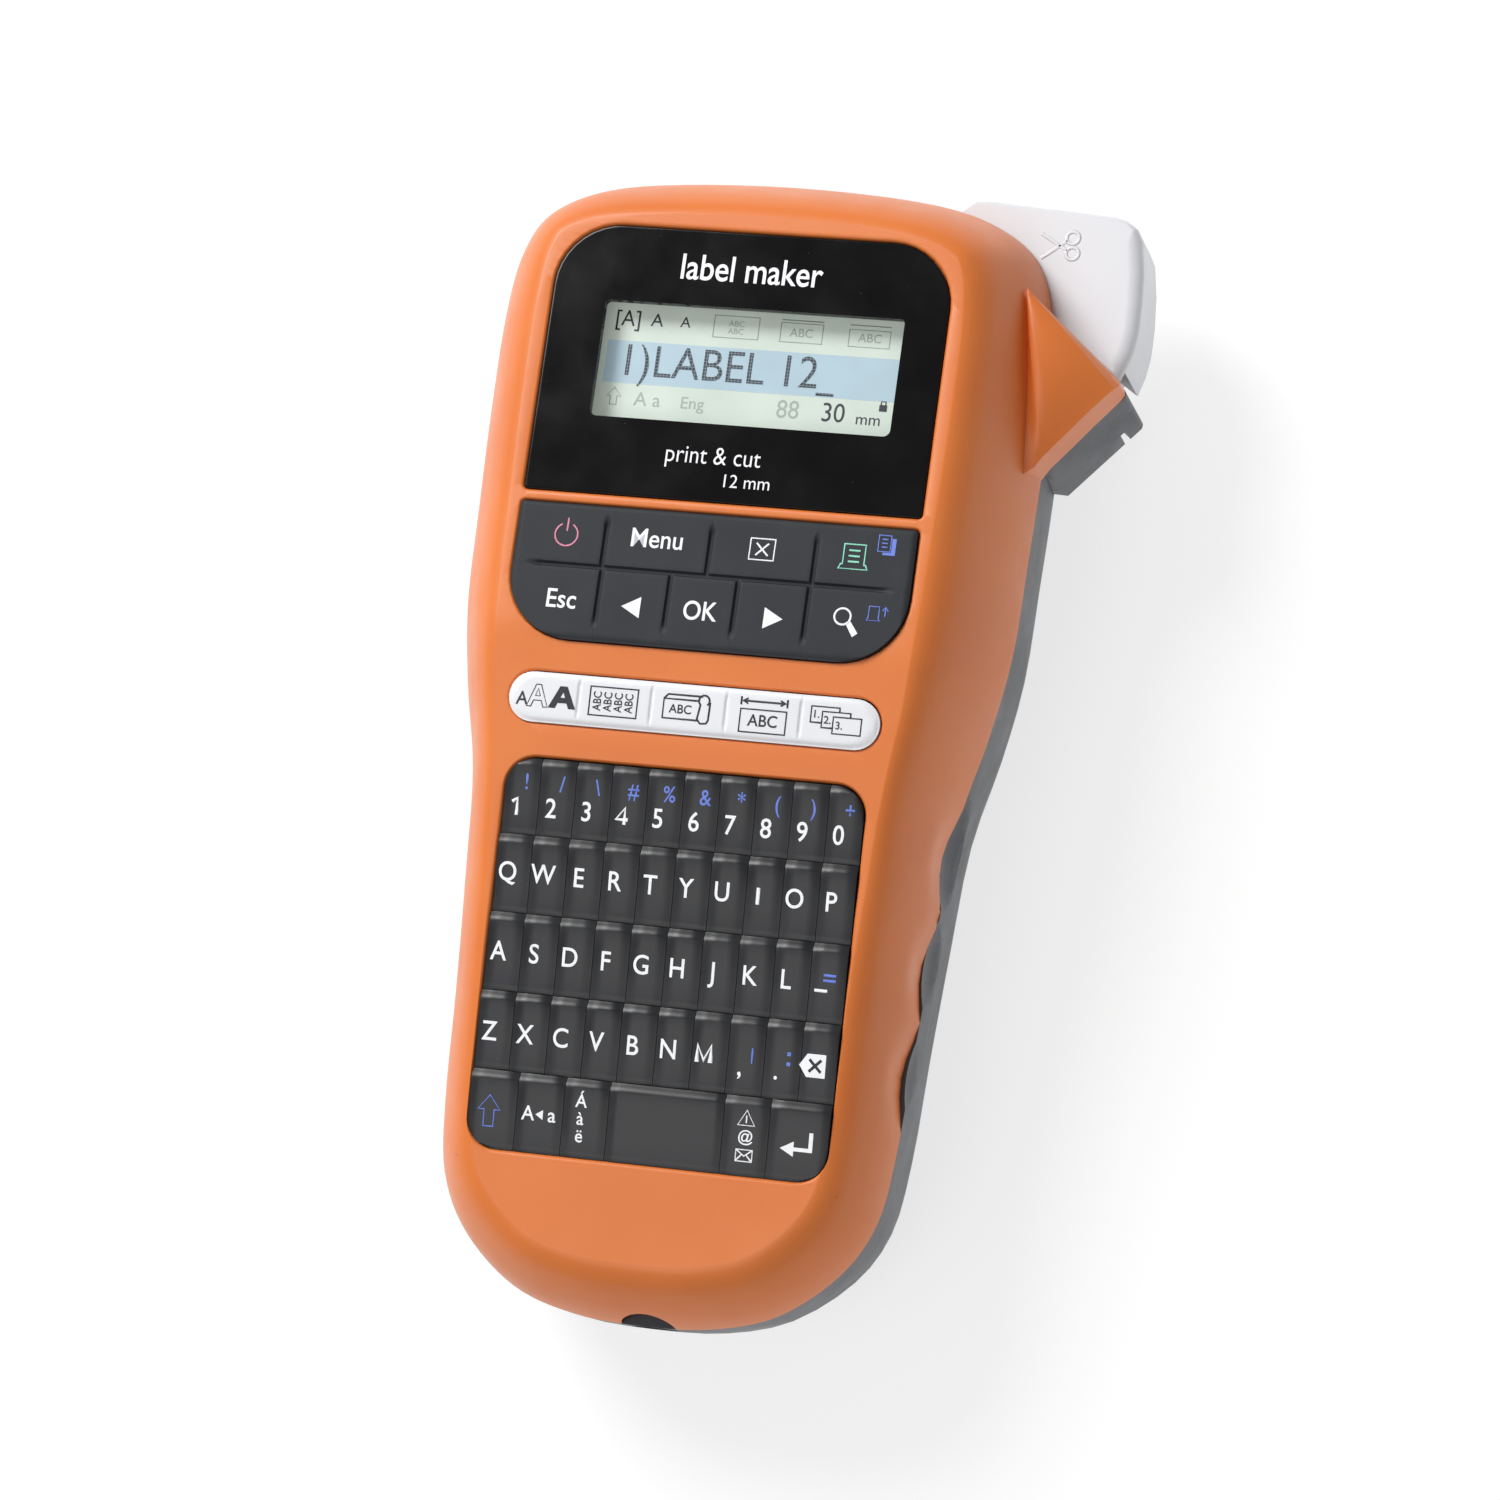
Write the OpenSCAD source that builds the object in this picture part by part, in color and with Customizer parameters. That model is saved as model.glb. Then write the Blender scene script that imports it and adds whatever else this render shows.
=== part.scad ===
// Hand-held label maker with a keyboard, a display, a tape cassette and a cutter lever.
// It lies on its back: +Z comes out of the keys, +Y points to the display end.
// The origin is the centre of the flat it rests on.

/* [Casing] */
// Length of the casing
case_len = 207; // [200:1:260]
// Width of the casing at the display
case_w = 101.6; // [98:0.2:130]
// Width of the casing at the hand grip
grip_w = 82.4; // [82:0.2:110]
// Height of the display face above the table
case_h = 59; // [57:0.5:80]
// Height of the joint between the front and rear shells
parting_z = 34; // [33:0.5:36]
// Wall thickness of the shells
wall = 2.2; // [1.6:0.1:2.8]
// Height above the table where the back cover meets the rear shell
cover_z = 10.5; // [9:0.5:12]
// How much the underside rises at the hand end
chin_rise = 8; // [4:0.5:9]
// Slope of the keyboard face in degrees
key_tilt = 6.45; // [4:0.05:7.5]

/* [Keys] */
// Distance from the hand end to the letter keys
letter_start = 26.7; // [26:0.1:28]
// Column spacing of the letter keys
key_pitch = 6.46; // [5.4:0.02:6.8]
// Row spacing of the letter keys
row_pitch = 13.62; // [11:0.02:14]
// Corner radius of the letter key opening
letter_corner = 5.5; // [3:0.5:6]
// Length of the shortcut strip across the casing
strip_w = 66.8; // [56:0.2:70]
// Height of the shortcut strip along the casing
strip_h = 9.1; // [7:0.1:10]
// Width of the function key block
function_w = 71.8; // [66:0.2:74]
// Length of the function key block along the casing
function_l = 24.6; // [20:0.2:26]
// Corner radius of the function key block
function_corner = 12; // [6:0.5:12]
// Gap between blocks of keys and windows
block_gap = 6; // [5:0.1:8]
// How far a key goes down
key_travel = 1; // [0.6:0.1:1.1]
// How far a key stands above the casing
key_rise = 0.9; // [0.6:0.1:1.5]
// Gap round a key
key_gap = 0.15; // [0.1:0.01:0.25]

/* [Display] */
// Width of the display lens at its lower edge
lens_w = 71.8; // [66:0.2:74]
// Length of the display lens
lens_l = 49.2; // [44:0.2:52]
// Corner radius at the lens's upper corners
lens_corner = 11.5; // [6:0.5:12]
// Thickness of the lens
lens_t = 1.6; // [1:0.1:2]
// Width of the liquid crystal glass
lcd_w = 60; // [50:0.5:62]
// Length of the liquid crystal glass
lcd_l = 27; // [22:0.5:30]
// Thickness of a circuit board
board_t = 1.6; // [1:0.1:2]

/* [Cassette and batteries] */
// Width of the tape cassette
cassette_w = 61; // [52:0.5:64]
// Length of the tape cassette
cassette_l = 52.5; // [46:0.5:53]
// Thickness of the tape cassette
cassette_t = 15.5; // [14:0.5:16]
// Width of the label tape
tape_w = 12; // [6:0.5:12]
// Diameter of a battery
cell_d = 10.3; // [9:0.1:10.6]
// Length of a battery without its button
cell_l = 43.2; // [36:0.2:44]

/* [Drive and cutter] */
// Gear tooth module
gear_module = 0.7; // [0.6:0.05:0.75]
// Teeth on the motor pinion
pinion_teeth = 12; // [12:1:14]
// Teeth on the idler gear
idler_teeth = 28; // [28:4:28]
// Teeth on the platen gear
platen_teeth = 14; // [12:1:14]
// Teeth on the take-up gear
takeup_teeth = 24; // [20:1:26]
// Radius of the platen's rubber
platen_r = 4; // [3:0.1:4.2]
// Radius of the platen shaft
shaft_r = 1.5; // [1.2:0.05:1.8]
// Radius of the cutter lever's pin
pin_r = 1.5; // [1.2:0.05:1.8]
// Radial clearance of a turning fit
run_gap = 0.05; // [0.02:0.01:0.1]
// Angle that the cutter lever turns when it is pressed
cut_angle = 5; // [3:0.5:5.5]
// Height of the cutter lever's front face above the table
lever_top = 36; // [35:0.5:38]
// Reach of the tape guide beyond the casing's side
guide_reach = 13.4; // [12:0.1:15]

/* [Hidden] */
$fn = 48;
eps = 0.01;

// Colours
orange = [0.91, 0.47, 0.22];
dark_grey = [0.29, 0.30, 0.33];
key_black = [0.13, 0.14, 0.15];
key_grey = [0.20, 0.21, 0.22];
key_white = [0.93, 0.93, 0.94];
lens_black = [0.05, 0.05, 0.06];
board_green = [0.10, 0.35, 0.20];
steel = [0.72, 0.73, 0.75];
nylon = [0.88, 0.87, 0.82];
rubber = [0.16, 0.16, 0.17];

// ---- Places along the casing, measured from the hand end ----
function at(s) = s - case_len / 2;
key_rows = 5;
key_cols = 10;
letter_w = key_cols * key_pitch;
letter_l = key_rows * row_pitch;
letter_end = letter_start + letter_l;
strip_start = letter_end + block_gap;
strip_end = strip_start + strip_h;
function_start = strip_end + block_gap - 0.4;
function_end = function_start + function_l;
bar_w = 2;
lens_start = function_end + bar_w;
lens_end = lens_start + lens_l;

// ---- The two faces of the front: a sloped keyboard and a level display ----
slope = tan(key_tilt);
bend_s = (strip_end + function_start) / 2 + 4.8;
function face_z(s) = min(case_h, case_h - slope * (bend_s - s));
key_s = 60;
key_z = face_z(key_s);
// The underside rises towards the hand end
rise_end = 44;
function back_z(s) = s >= rise_end ? 0 : chin_rise * pow((rise_end - s) / rise_end, 1.6);

// ---- Plan outline of the casing, right half, from the hand end to the display end ----
hw = case_w / 2;
gw = grip_w / 2;
grip_top = letter_end - 4;
outline_marks = [
    [0, 0.6], [gw * 0.3, 1.4], [gw * 0.58, 5], [gw * 0.82, 13.2], [gw * 0.95, 23],
    [gw - 0.3, 36], [gw + 0.5, 55], [gw + 1.6, 75],
    [mix(gw, hw, 0.3), grip_top + 3], [mix(gw, hw, 0.66), grip_top + 19],
    [mix(gw, hw, 0.9), grip_top + 34],
    [hw - 0.4, case_len - 65], [hw, case_len - 48], [hw - 0.1, case_len - 29],
    [hw * 0.965, case_len - 17], [hw * 0.875, case_len - 8.8],
    [hw * 0.69, case_len - 3.4], [hw * 0.42, case_len - 0.9], [0, case_len]
];
outline_steps = 3;
mark_last = len(outline_marks) - 1;

function mix(a, b, t) = a + (b - a) * t;
function smooth(a, b, v) = let (t = min(1, max(0, (v - a) / (b - a)))) t * t * (3 - 2 * t);
function flip(p) = [-p[0], p[1]];
function mark(i) =
    i < 0 ? flip(outline_marks[-i]) :
    i > mark_last ? flip(outline_marks[2 * mark_last - i]) : outline_marks[i];
function spline(i, t) =
    let (a = mark(i - 1), b = mark(i), c = mark(i + 1), d = mark(i + 2))
    0.5 * (2 * b + (c - a) * t + (2 * a - 5 * b + 4 * c - d) * t * t
        + (3 * b - a - 3 * c + d) * t * t * t);
half_outline = [
    for (i = [0:mark_last - 1]) for (j = [0:outline_steps - 1]) spline(i, j / outline_steps),
    mark(mark_last)
];
half_last = len(half_outline) - 1;
function side_point(i) =
    i < 0 ? flip(half_outline[-i]) :
    i > half_last ? flip(half_outline[2 * half_last - i]) : half_outline[i];
function outward(i) =
    let (d = side_point(i + 1) - side_point(i - 1), n = norm(d)) [d[1] / n, -d[0] / n];
// The side walls lean in less beside the keyboard than beside the display
function lean(s) = mix(0.74, 1, smooth(letter_end - 5, function_start + 12, s));
function inset_point(i, inset, leaning) =
    let (p = side_point(i), q = p - outward(i) * inset * (leaning ? lean(p[1]) : 1))
    [max(q[0], 0), q[1]];

// One ring of a shell: the whole outline moved in, at a share of the way from the parting
// plane to the front face or the underside
function half_ring(inset, share, front, drop) = [
    for (i = [0:half_last])
        let (q = inset_point(i, inset, front), far = front ? face_z(q[1]) : back_z(q[1]))
        [q[0], at(q[1]), parting_z + share * (far - parting_z) - drop]
];
function whole_ring(h) = concat(h, [for (i = [half_last - 1:-1:1]) [-h[i][0], h[i][1], h[i][2]]]);

// Skins a list of rings. A capped shell starts and ends with a closing face, and an
// open one joins its last ring to its first.
module shell_skin(rings, capped) {
    n = len(rings[0]);
    m = len(rings);
    half = n / 2;
    points = [for (r = rings) each r];
    walls = [
        for (k = [0:m - (capped ? 2 : 1)]) for (i = [0:n - 1])
            let (a = k * n, b = ((k + 1) % m) * n, j = (i + 1) % n)
            each [[a + i, b + j, b + i], [a + i, a + j, b + j]]
    ];
    first_cap = [
        for (i = [0:half - 1])
            let (l = (n - i) % n, l2 = n - i - 1)
            each (i == 0 ? [[0, l2, 1]] : i == half - 1 ? [[i, l, half]]
                : [[i, l2, i + 1], [i, l, l2]])
    ];
    last_cap = [for (f = first_cap) [f[0] + (m - 1) * n, f[2] + (m - 1) * n, f[1] + (m - 1) * n]];
    polyhedron(points, capped ? concat(first_cap, walls, last_cap) : walls, convexity = 10);
}

// Share of the height and inset of the front shell's rings, from the parting plane up
front_rings = [
    [0, 0], [0.12, 0.45], [0.28, 1.3], [0.45, 2.6], [0.6, 4.1], [0.74, 5.8],
    [0.85, 7.5], [0.93, 9.3], [0.98, 11], [1, 12.4]
];
// The same for the rear shell and the back cover, from the parting plane down
rear_rings = [[0, 0], [0.25, 0.3], [0.5, 0.9], [0.62, 1.6]];
cover_share = (parting_z - cover_z) / parting_z;
cover_rings = [[0, 3], [0.32, 4.4], [0.6, 6.4], [0.82, 8.8], [0.94, 11], [1, 13.5]];
cover_gap = 0.3;

function turned(list) = [for (i = [len(list) - 1:-1:0]) list[i]];
function front_outer(r) = whole_ring(half_ring(r[1], r[0], true, 0));
function front_inner(r) = whole_ring(half_ring(r[1] + wall / lean_min, r[0], true, wall * r[0]));
lean_min = 0.9;
function rear_outer(r) = whole_ring(half_ring(r[1], r[0], false, 0));
function rear_inner(r) = whole_ring(half_ring(r[1] + wall, r[0], false, 0));
function cover_level(share) = mix(cover_share + cover_gap / parting_z, 1, share);
function cover_outer(r) = whole_ring(half_ring(r[1], cover_level(r[0]), false, 0));
function cover_inner(r) =
    whole_ring(half_ring(r[1] + wall, cover_level(r[0]), false, -wall * r[0]));

// A flat plate with the casing's outline, moved in by inset, between two heights
module outline_plate(inset, low, high) {
    right = [for (i = [0:half_last]) inset_point(i, inset, false)];
    all = concat(right, [for (i = [half_last - 1:-1:1]) flip(right[i])]);
    translate([0, 0, low]) linear_extrude(high - low) polygon([for (p = all) [p[0], at(p[1])]]);
}

// A box from one end of a stretch of the casing to the other
module stretch_box(x1, x2, s1, s2, z1, z2) {
    translate([x1, at(s1), z1]) cube([x2 - x1, s2 - s1, z2 - z1]);
}

// A plate with its own radius at the lower and the upper corners
module corner_plate(w, l, r_low, r_high, t) {
    linear_extrude(t) union() {
        translate([-w / 2, r_low]) square([w, l - r_low - r_high]);
        translate([-w / 2 + r_low, 0]) square([w - 2 * r_low, r_low + eps]);
        translate([-w / 2 + r_high, l - r_high - eps]) square([w - 2 * r_high, r_high + eps]);
        for (side = [-1, 1]) {
            translate([side * (w / 2 - r_low), r_low]) circle(r_low);
            translate([side * (w / 2 - r_high), l - r_high]) circle(r_high);
        }
    }
}

// The keyboard's own frame: its z is the keyboard face's normal, and y is 0 at key_s
module on_keyboard() translate([0, at(key_s), key_z]) rotate([key_tilt, 0, 0]) children();
function along(s) = (s - key_s) / cos(key_tilt);
// The display's frame: z is 0 at the display face
module on_display() translate([0, 0, case_h]) children();

// ---- Layers below the two faces ----
pad_t = 1.2;
stem_r = 1.4;
key_under = 1.15;
pad_top = -(key_under + key_travel + 0.05);
board_gap = 1.8;
board_top = pad_top - pad_t - board_gap;
stem_end = board_top + key_travel + 0.1;

// ================= Casing =================
finger_rests = [87, 67.6, 48.2];
finger_radius = 25;
finger_depth = 1.5;

module finger_hollows() {
    for (s = finger_rests) {
        side = gw + 1.6 * s / 75;
        translate([side + finger_radius - finger_depth, at(s), parting_z])
            sphere(finger_radius, $fn = 96);
    }
}

// Places of the casing screws
screw_spots = [
    [-24, at(14), face_z(14) - wall + 0.7], [24, at(14), face_z(14) - wall + 0.7],
    [-hw + 6.5, at(case_len - 45), parting_z + 10.5], [hw - 6.5, at(case_len - 57), parting_z + 10.5]
];
screw_r = 1.25;
boss_r = 3.2;
screw_floor = 17;

// The diagonal frame of the tape guide: x runs from the guide's tip towards the display
// end along its edge, and y points into the casing
guide_tip = [hw + guide_reach, at(case_len - 32.9)];
guide_turn = 141.5;
module at_guide() translate(guide_tip) rotate(guide_turn) children();
anvil_y = 5;
step_x = 24;
step_y = 0.6;
bay_start = 39.5;
bay_end = 48;
bay_y = 5.4;
far = 45;
recess_wall = 1.4;
// Wall kept round the guide's tip below the joint between the shells
tip_wall_x = 9.6;
tip_wall_y = 1.7;
tip_wall_t = 1.3;
module recess_plan(grow, tip_y) {
    polygon([
        [-far, -1], [tip_wall_t - grow, -1], [tip_wall_t - grow, tip_y + grow],
        [tip_wall_x - grow, tip_y + grow], [tip_wall_x - grow, anvil_y + grow],
        [step_x + grow, anvil_y + grow], [step_x + grow, step_y + grow],
        [bay_start - grow, step_y + grow], [bay_start - grow, bay_y + grow],
        [bay_end + grow, bay_y + grow], [bay_end + grow, -far], [-far, -far]
    ]);
}
module recess(grow, low, high, tip_y = tip_wall_y) {
    translate([0, 0, low]) at_guide() linear_extrude(high - low) recess_plan(grow, tip_y);
}

// The guide's solid: its plan between two heights, and a top that falls towards the tip
guide_shoulder = 47;
guide_fall = 25;
guide_round = 1.2;
module guide_plan() {
    root = hw - 7;
    tip = guide_tip - [1.45, 0.35];
    union() {
        polygon([
            [root, guide_tip[1] - 14], [hw + 1.2, guide_tip[1] - 14.4], tip + [0.75, -0.95],
            from_guide(guide_round, 0), from_guide(bay_start - 17, 0), [root, guide_tip[1] + 12]
        ]);
        translate(tip) circle(guide_round);
    }
}
module guide_block(low, high) {
    difference() {
        translate([0, 0, low]) linear_extrude(high - low) guide_plan();
        translate([hw - 5, guide_tip[1] - 30, guide_shoulder])
            rotate([0, guide_fall, 0]) translate([-20, 0, 0]) cube([60, 60, 30]);
    }
}
lip_z = lever_top + 0.25;
guide_low = 14;

module front_case() color(orange) {
    difference() {
        union() {
            shell_skin(concat([for (r = turned(front_rings)) front_outer(r)],
                [for (r = front_rings) front_inner(r)]), true);
            guide_block(parting_z, guide_shoulder);
            for (p = screw_spots) translate([p[0], p[1], parting_z + 0.3])
                cylinder(r = boss_r, h = p[2] - parting_z - 0.3);
            // Seat that holds the lever pin's upper end
            translate([lever_pivot[0], lever_pivot[1], lip_z + 0.2]) cylinder(r = 4, h = 12);
        }
        recess(0, parting_z - 1, lip_z, anvil_y - eps);
        finger_hollows();
        for (p = screw_spots) translate([p[0], p[1], parting_z]) cylinder(r = screw_r + 0.05, h = 9.5);
        translate([lever_pivot[0], lever_pivot[1], lip_z]) cylinder(r = pin_r, h = 3);
        // Openings for the keys and the lens
        on_keyboard() translate([0, along(letter_start), -wall * 2])
            corner_plate(letter_w, letter_l / cos(key_tilt), letter_corner, letter_corner, 9);
        on_keyboard() translate([0, along(strip_start), -wall * 2])
            corner_plate(strip_w, strip_h, strip_h / 2 - eps, strip_h / 2 - eps, 9);
        on_display() translate([0, at(function_start), -wall * 2])
            corner_plate(function_w, function_l, function_corner, 0.6, 9);
        on_display() translate([0, at(lens_start), -lens_t - 0.05])
            corner_plate(lens_w + 0.1, lens_l + 0.1, 0.6, lens_corner, 9);
        on_display() translate([0, at(lens_start) + 2.5, -wall * 2])
            corner_plate(lens_w - 5, lens_l - 5, 0.6, lens_corner - 2.5, 9);
        // Room under the faces for the rubber sheets and the boards
        on_keyboard() translate([0, along(letter_start), 0])
            sheet_pocket(letter_w, along(function_start - 4) - along(letter_start));
        on_keyboard() translate([0, along(strip_start), 0]) sheet_pocket(strip_w, strip_h);
        on_display() translate([0, at(function_start), 0])
            sheet_pocket(function_w, lens_start - function_start - sheet_rim);
        // Notch over the power socket
        translate([jack_x, at(-1), parting_z]) rotate([-90, 0, 0]) cylinder(r = jack_notch, h = 8);
    }
}
pocket_gap = 0.3;
module sheet_pocket(w, l) {
    edge = sheet_rim + pocket_gap;
    translate([-w / 2 - edge, -edge, pad_top - 9]) cube([w + 2 * edge, l + 2 * edge, 9]);
}

// Levels inside the rear shell
cassette_low = wall + 1;
well_z = cassette_low + cassette_t + 1;
well_t = 1.8;
well_top = well_z + well_t;
cell_low = wall + 1.6;
cell_z = cell_low + cell_d / 2;
tray_z = cell_low + cell_d + 0.8;
tray_t = 1.5;
divide_s = letter_end + 27;

// Notch and wall thickness of the power socket
jack_x = 1.3;
jack_r = 4;
jack_notch = 4.9;
jack_len = 14;

module rear_case() color(dark_grey) {
    difference() {
        union() {
            shell_skin(concat([for (r = rear_levels) rear_outer(r)],
                [for (r = turned(rear_levels)) rear_inner(r)]), false);
            guide_block(guide_low, parting_z);
            // Floor over the cassette, tray over the batteries and the wall between them
            intersection() {
                outline_plate(wall * 0.6 + 1, well_z, well_top);
                stretch_box(-hw, hw, divide_s, case_len, 0, parting_z);
            }
            intersection() {
                outline_plate(wall * 0.6 + 1.7, tray_z, tray_z + tray_t);
                stretch_box(-hw, hw, 8, divide_s + 1, 0, parting_z);
            }
            intersection() {
                outline_plate(wall * 0.6 + 1.7, cover_z + 1, parting_z - 6);
                stretch_box(-hw, hw, divide_s, divide_s + 1.8, 0, parting_z);
            }
            // Wall round the cutter lever
            intersection() {
                recess(recess_wall, cassette_low, parting_z);
                union() {
                    outline_plate(0.8, cover_z + 2, parting_z);
                    outline_plate(13, cassette_low + 1, cover_z + 2 + eps);
                }
            }
            // Tubes for the casing screws
            for (p = screw_spots) translate([p[0], p[1], screw_floor - 2])
                cylinder(r = boss_r, h = parting_z - screw_floor + 2);
            // Cradle of the power socket
            stretch_box(jack_x - 6.5, jack_x + 6.5, wall + 0.8, jack_len + 4, tray_z + tray_t - eps, 29.5);
        }
        recess(0, 0, parting_z + 1);
        // Way for the tape through the step in the wall
        at_guide() translate([step_x - 1, anvil_y - 1.4, 0]) cube([4, 1.7, well_z - 0.4]);
        // Slot in the guide's tip that the tape comes out of
        at_guide() translate([-6, anvil_y - slot_w, 0]) cube([tip_wall_x + 7, slot_w, well_z - 0.4]);
        // Clears the shell's rim behind the step
        at_guide() translate([step_x - 0.5, step_y - 0.5, 0]) cube([3, 3, cover_z + 1.9]);
        finger_hollows();
        for (p = screw_spots) {
            translate([p[0], p[1], 0]) cylinder(r = screw_r + 0.25, h = parting_z + 1);
            translate([p[0], p[1], 0]) cylinder(r = 2.5, h = screw_floor);
        }
        // Bearings of the platen and take-up shafts
        translate([platen_at[0], platen_at[1], 0]) cylinder(r = shaft_r + run_gap, h = 30);
        translate([takeup_at[0], takeup_at[1], 0]) cylinder(r = spindle_r + run_gap, h = 30);
        // Slot that the cutter blade closes into
        at_guide() translate([blade_x - 0.4, anvil_y - 0.5, cassette_low - 1])
            cube([blade_t + 0.8, 1.9, tape_w + 5]);
        // Mouth of the power socket
        translate([jack_x, at(-1), parting_z - 4.5]) {
            rotate([-90, 0, 0]) cylinder(r = jack_r + 0.1, h = jack_len + 5);
        }
    }
    lever_bracket();
}
slot_w = 1.3;
rear_levels = concat(rear_rings, [[cover_share, 2.9]]);

// Shelf under the lever that carries its pin
module lever_bracket() {
    difference() {
        intersection() {
            at_guide() translate([bay_start - 1, -4, cover_z + 1])
                cube([bay_end - bay_start + 2, bay_y + 5, 2]);
            outline_plate(2, cover_z, cover_z + 4);
        }
        translate([lever_pivot[0], lever_pivot[1], cover_z]) cylinder(r = pin_r, h = 5);
    }
}

module back_cover() color(dark_grey) {
    difference() {
        shell_skin(concat([for (r = turned(cover_rings)) cover_outer(r)],
            [for (r = cover_rings) cover_inner(r)]), true);
        // Room for the cutter lever and the tape
        recess(0, lever_low - 1.4, parting_z);
        at_guide() translate([step_x - 2, tape_y - 0.5, lever_low - 1.4]) cube([14, 5, cover_z]);
        // Grooves for the thumb that pulls the cover off
        for (i = [-2:2]) translate([-9, at(case_len - 18) + i * 2.4, -0.4]) cube([18, 1.1, 0.9]);
    }
}

module case_screws() color(steel) {
    for (p = screw_spots) translate([p[0], p[1], 0]) difference() {
        union() {
            translate([0, 0, screw_floor - 1.6]) cylinder(r = 2.3, h = 1.6);
            translate([0, 0, screw_floor - eps]) cylinder(r = screw_r, h = parting_z + 8.5 - screw_floor);
        }
        translate([0, 0, screw_floor - 2]) rotate(45) cube([0.6, 2.8, 2.4], center = true);
        translate([0, 0, screw_floor - 2]) rotate(-45) cube([0.6, 2.8, 2.4], center = true);
    }
}

// ================= Display and boards =================
module display_window() color(lens_black) {
    on_display() translate([0, at(lens_start) + 0.05, -lens_t])
        corner_plate(lens_w - 0.1, lens_l - 0.1, 0.6, lens_corner, lens_t - 0.1);
}

lcd_s = lens_start + 24.7;
lcd_x = 1.1;
lcd_t = 2.8;
lcd_top = case_h - wall * 2 - 0.4;
module lcd_panel() color([0.78, 0.85, 0.78]) {
    translate([lcd_x - lcd_w / 2, at(lcd_s) - lcd_l / 2, lcd_top - lcd_t]) cube([lcd_w, lcd_l, lcd_t]);
}

holder_rim = 3;
display_board_z = lcd_top - lcd_t - 2.4;
module lcd_holder() color(nylon) {
    low = display_board_z;
    difference() {
        translate([lcd_x - lcd_w / 2 - holder_rim, at(lcd_s) - lcd_l / 2 - holder_rim, low])
            cube([lcd_w + 2 * holder_rim, lcd_l + 2 * holder_rim, lcd_top - low]);
        translate([lcd_x - lcd_w / 2 - 0.1, at(lcd_s) - lcd_l / 2 - 0.1, lcd_top - lcd_t])
            cube([lcd_w + 0.2, lcd_l + 0.2, lcd_t + 1]);
        translate([lcd_x - lcd_w / 2 + 4, at(lcd_s) - lcd_l / 2 + 4, low - 1])
            cube([lcd_w - 8, lcd_l - 8, lcd_t + 9]);
    }
}

display_board_w = function_w + 2;
module display_board() color(board_green) {
    z = display_board_z - board_t;
    difference() {
        translate([-display_board_w / 2, at(function_start + 1), z])
            cube([display_board_w, lens_end - function_start - 5, board_t]);
        for (side = [-1, 1]) translate([side * (display_board_w / 2 - 4), at(function_start + 5), z - 1])
            cylinder(r = 1.3, h = board_t + 2);
    }
}

key_board_w = letter_w + 3;
module key_board() color(board_green) {
    on_keyboard() translate([-key_board_w / 2, along(letter_start), board_top - board_t])
        cube([key_board_w, along(function_start - 4) - along(letter_start), board_t]);
}

module board_chips() color([0.12, 0.12, 0.13]) {
    z = display_board_z - board_t;
    for (spot = [[-24, 22, 12, 12], [-4, 20, 9, 9], [14, 24, 7, 10], [-16, 42, 8, 6]])
        translate([spot[0], at(function_start + spot[1]), z - 1.3]) cube([spot[2], spot[3], 1.3]);
    on_keyboard() for (spot = [[-20, 14, 10, 10], [6, 20, 12, 8]])
        translate([spot[0], along(letter_start) + spot[1], board_top - board_t - 1.4])
            cube([spot[2], spot[3], 1.4]);
}

ribbon_t = 0.3;
module display_ribbon() color([0.85, 0.6, 0.25]) {
    low = display_board_z - board_t - ribbon_t;
    high = face_z(function_start - 6) + (board_top - board_t) / cos(key_tilt) - 0.05;
    translate([-15, at(function_start - 6), low]) cube([14, 12, ribbon_t]);
    translate([-15, at(function_start - 6), low]) cube([14, ribbon_t, high - low]);
}

module power_jack() color(key_black) {
    translate([jack_x, at(wall + 0.9), parting_z - 4.5]) rotate([-90, 0, 0]) {
        difference() {
            cylinder(r = jack_r, h = jack_len);
            translate([0, 0, -1]) cylinder(r = 3, h = jack_len - 1.5);
        }
        translate([0, 0, 1.5]) cylinder(r = 1, h = jack_len - 2);
    }
}

// ================= Keys =================
// One key cell on its own sheet: the part of a rounded block between two edges in x and y,
// with a raised middle and a stem down to the board
module key_cell(x1, x2, y1, y2, rise, stem) {
    g = key_gap;
    translate([x1 + g / 2, y1 + g / 2, -key_under]) cube([x2 - x1 - g, y2 - y1 - g, key_under + rise]);
    if (stem) translate([(x1 + x2) / 2, (y1 + y2) / 2, stem_end])
        cylinder(r = stem_r, h = -stem_end - key_under + 0.2);
}

// Keeps what lies within a rounded block of keys, a key gap inside its opening
module within_block(w, l, r_low, r_high) {
    intersection() {
        translate([0, key_gap, -9]) corner_plate(w - 2 * key_gap, l - 2 * key_gap, r_low - key_gap,
            r_high - key_gap, 14);
        children();
    }
}

// --- Letter keys, on the keyboard face ---
module letter_block() {
    on_keyboard() translate([0, along(letter_start), 0])
        within_block(letter_w, letter_l / cos(key_tilt), letter_corner, letter_corner) children();
}
row_y = row_pitch / cos(key_tilt);
function col_x(i) = (i - key_cols / 2) * key_pitch;
module letter_row(row) {
    color(key_black) letter_block() for (i = [0:key_cols - 1])
        key_cell(col_x(i), col_x(i + 1), row * row_y, (row + 1) * row_y, key_rise, true);
}
module row_lower() letter_row(1);
module row_middle() letter_row(2);
module row_upper() letter_row(3);
module row_digits() letter_row(4);

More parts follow.
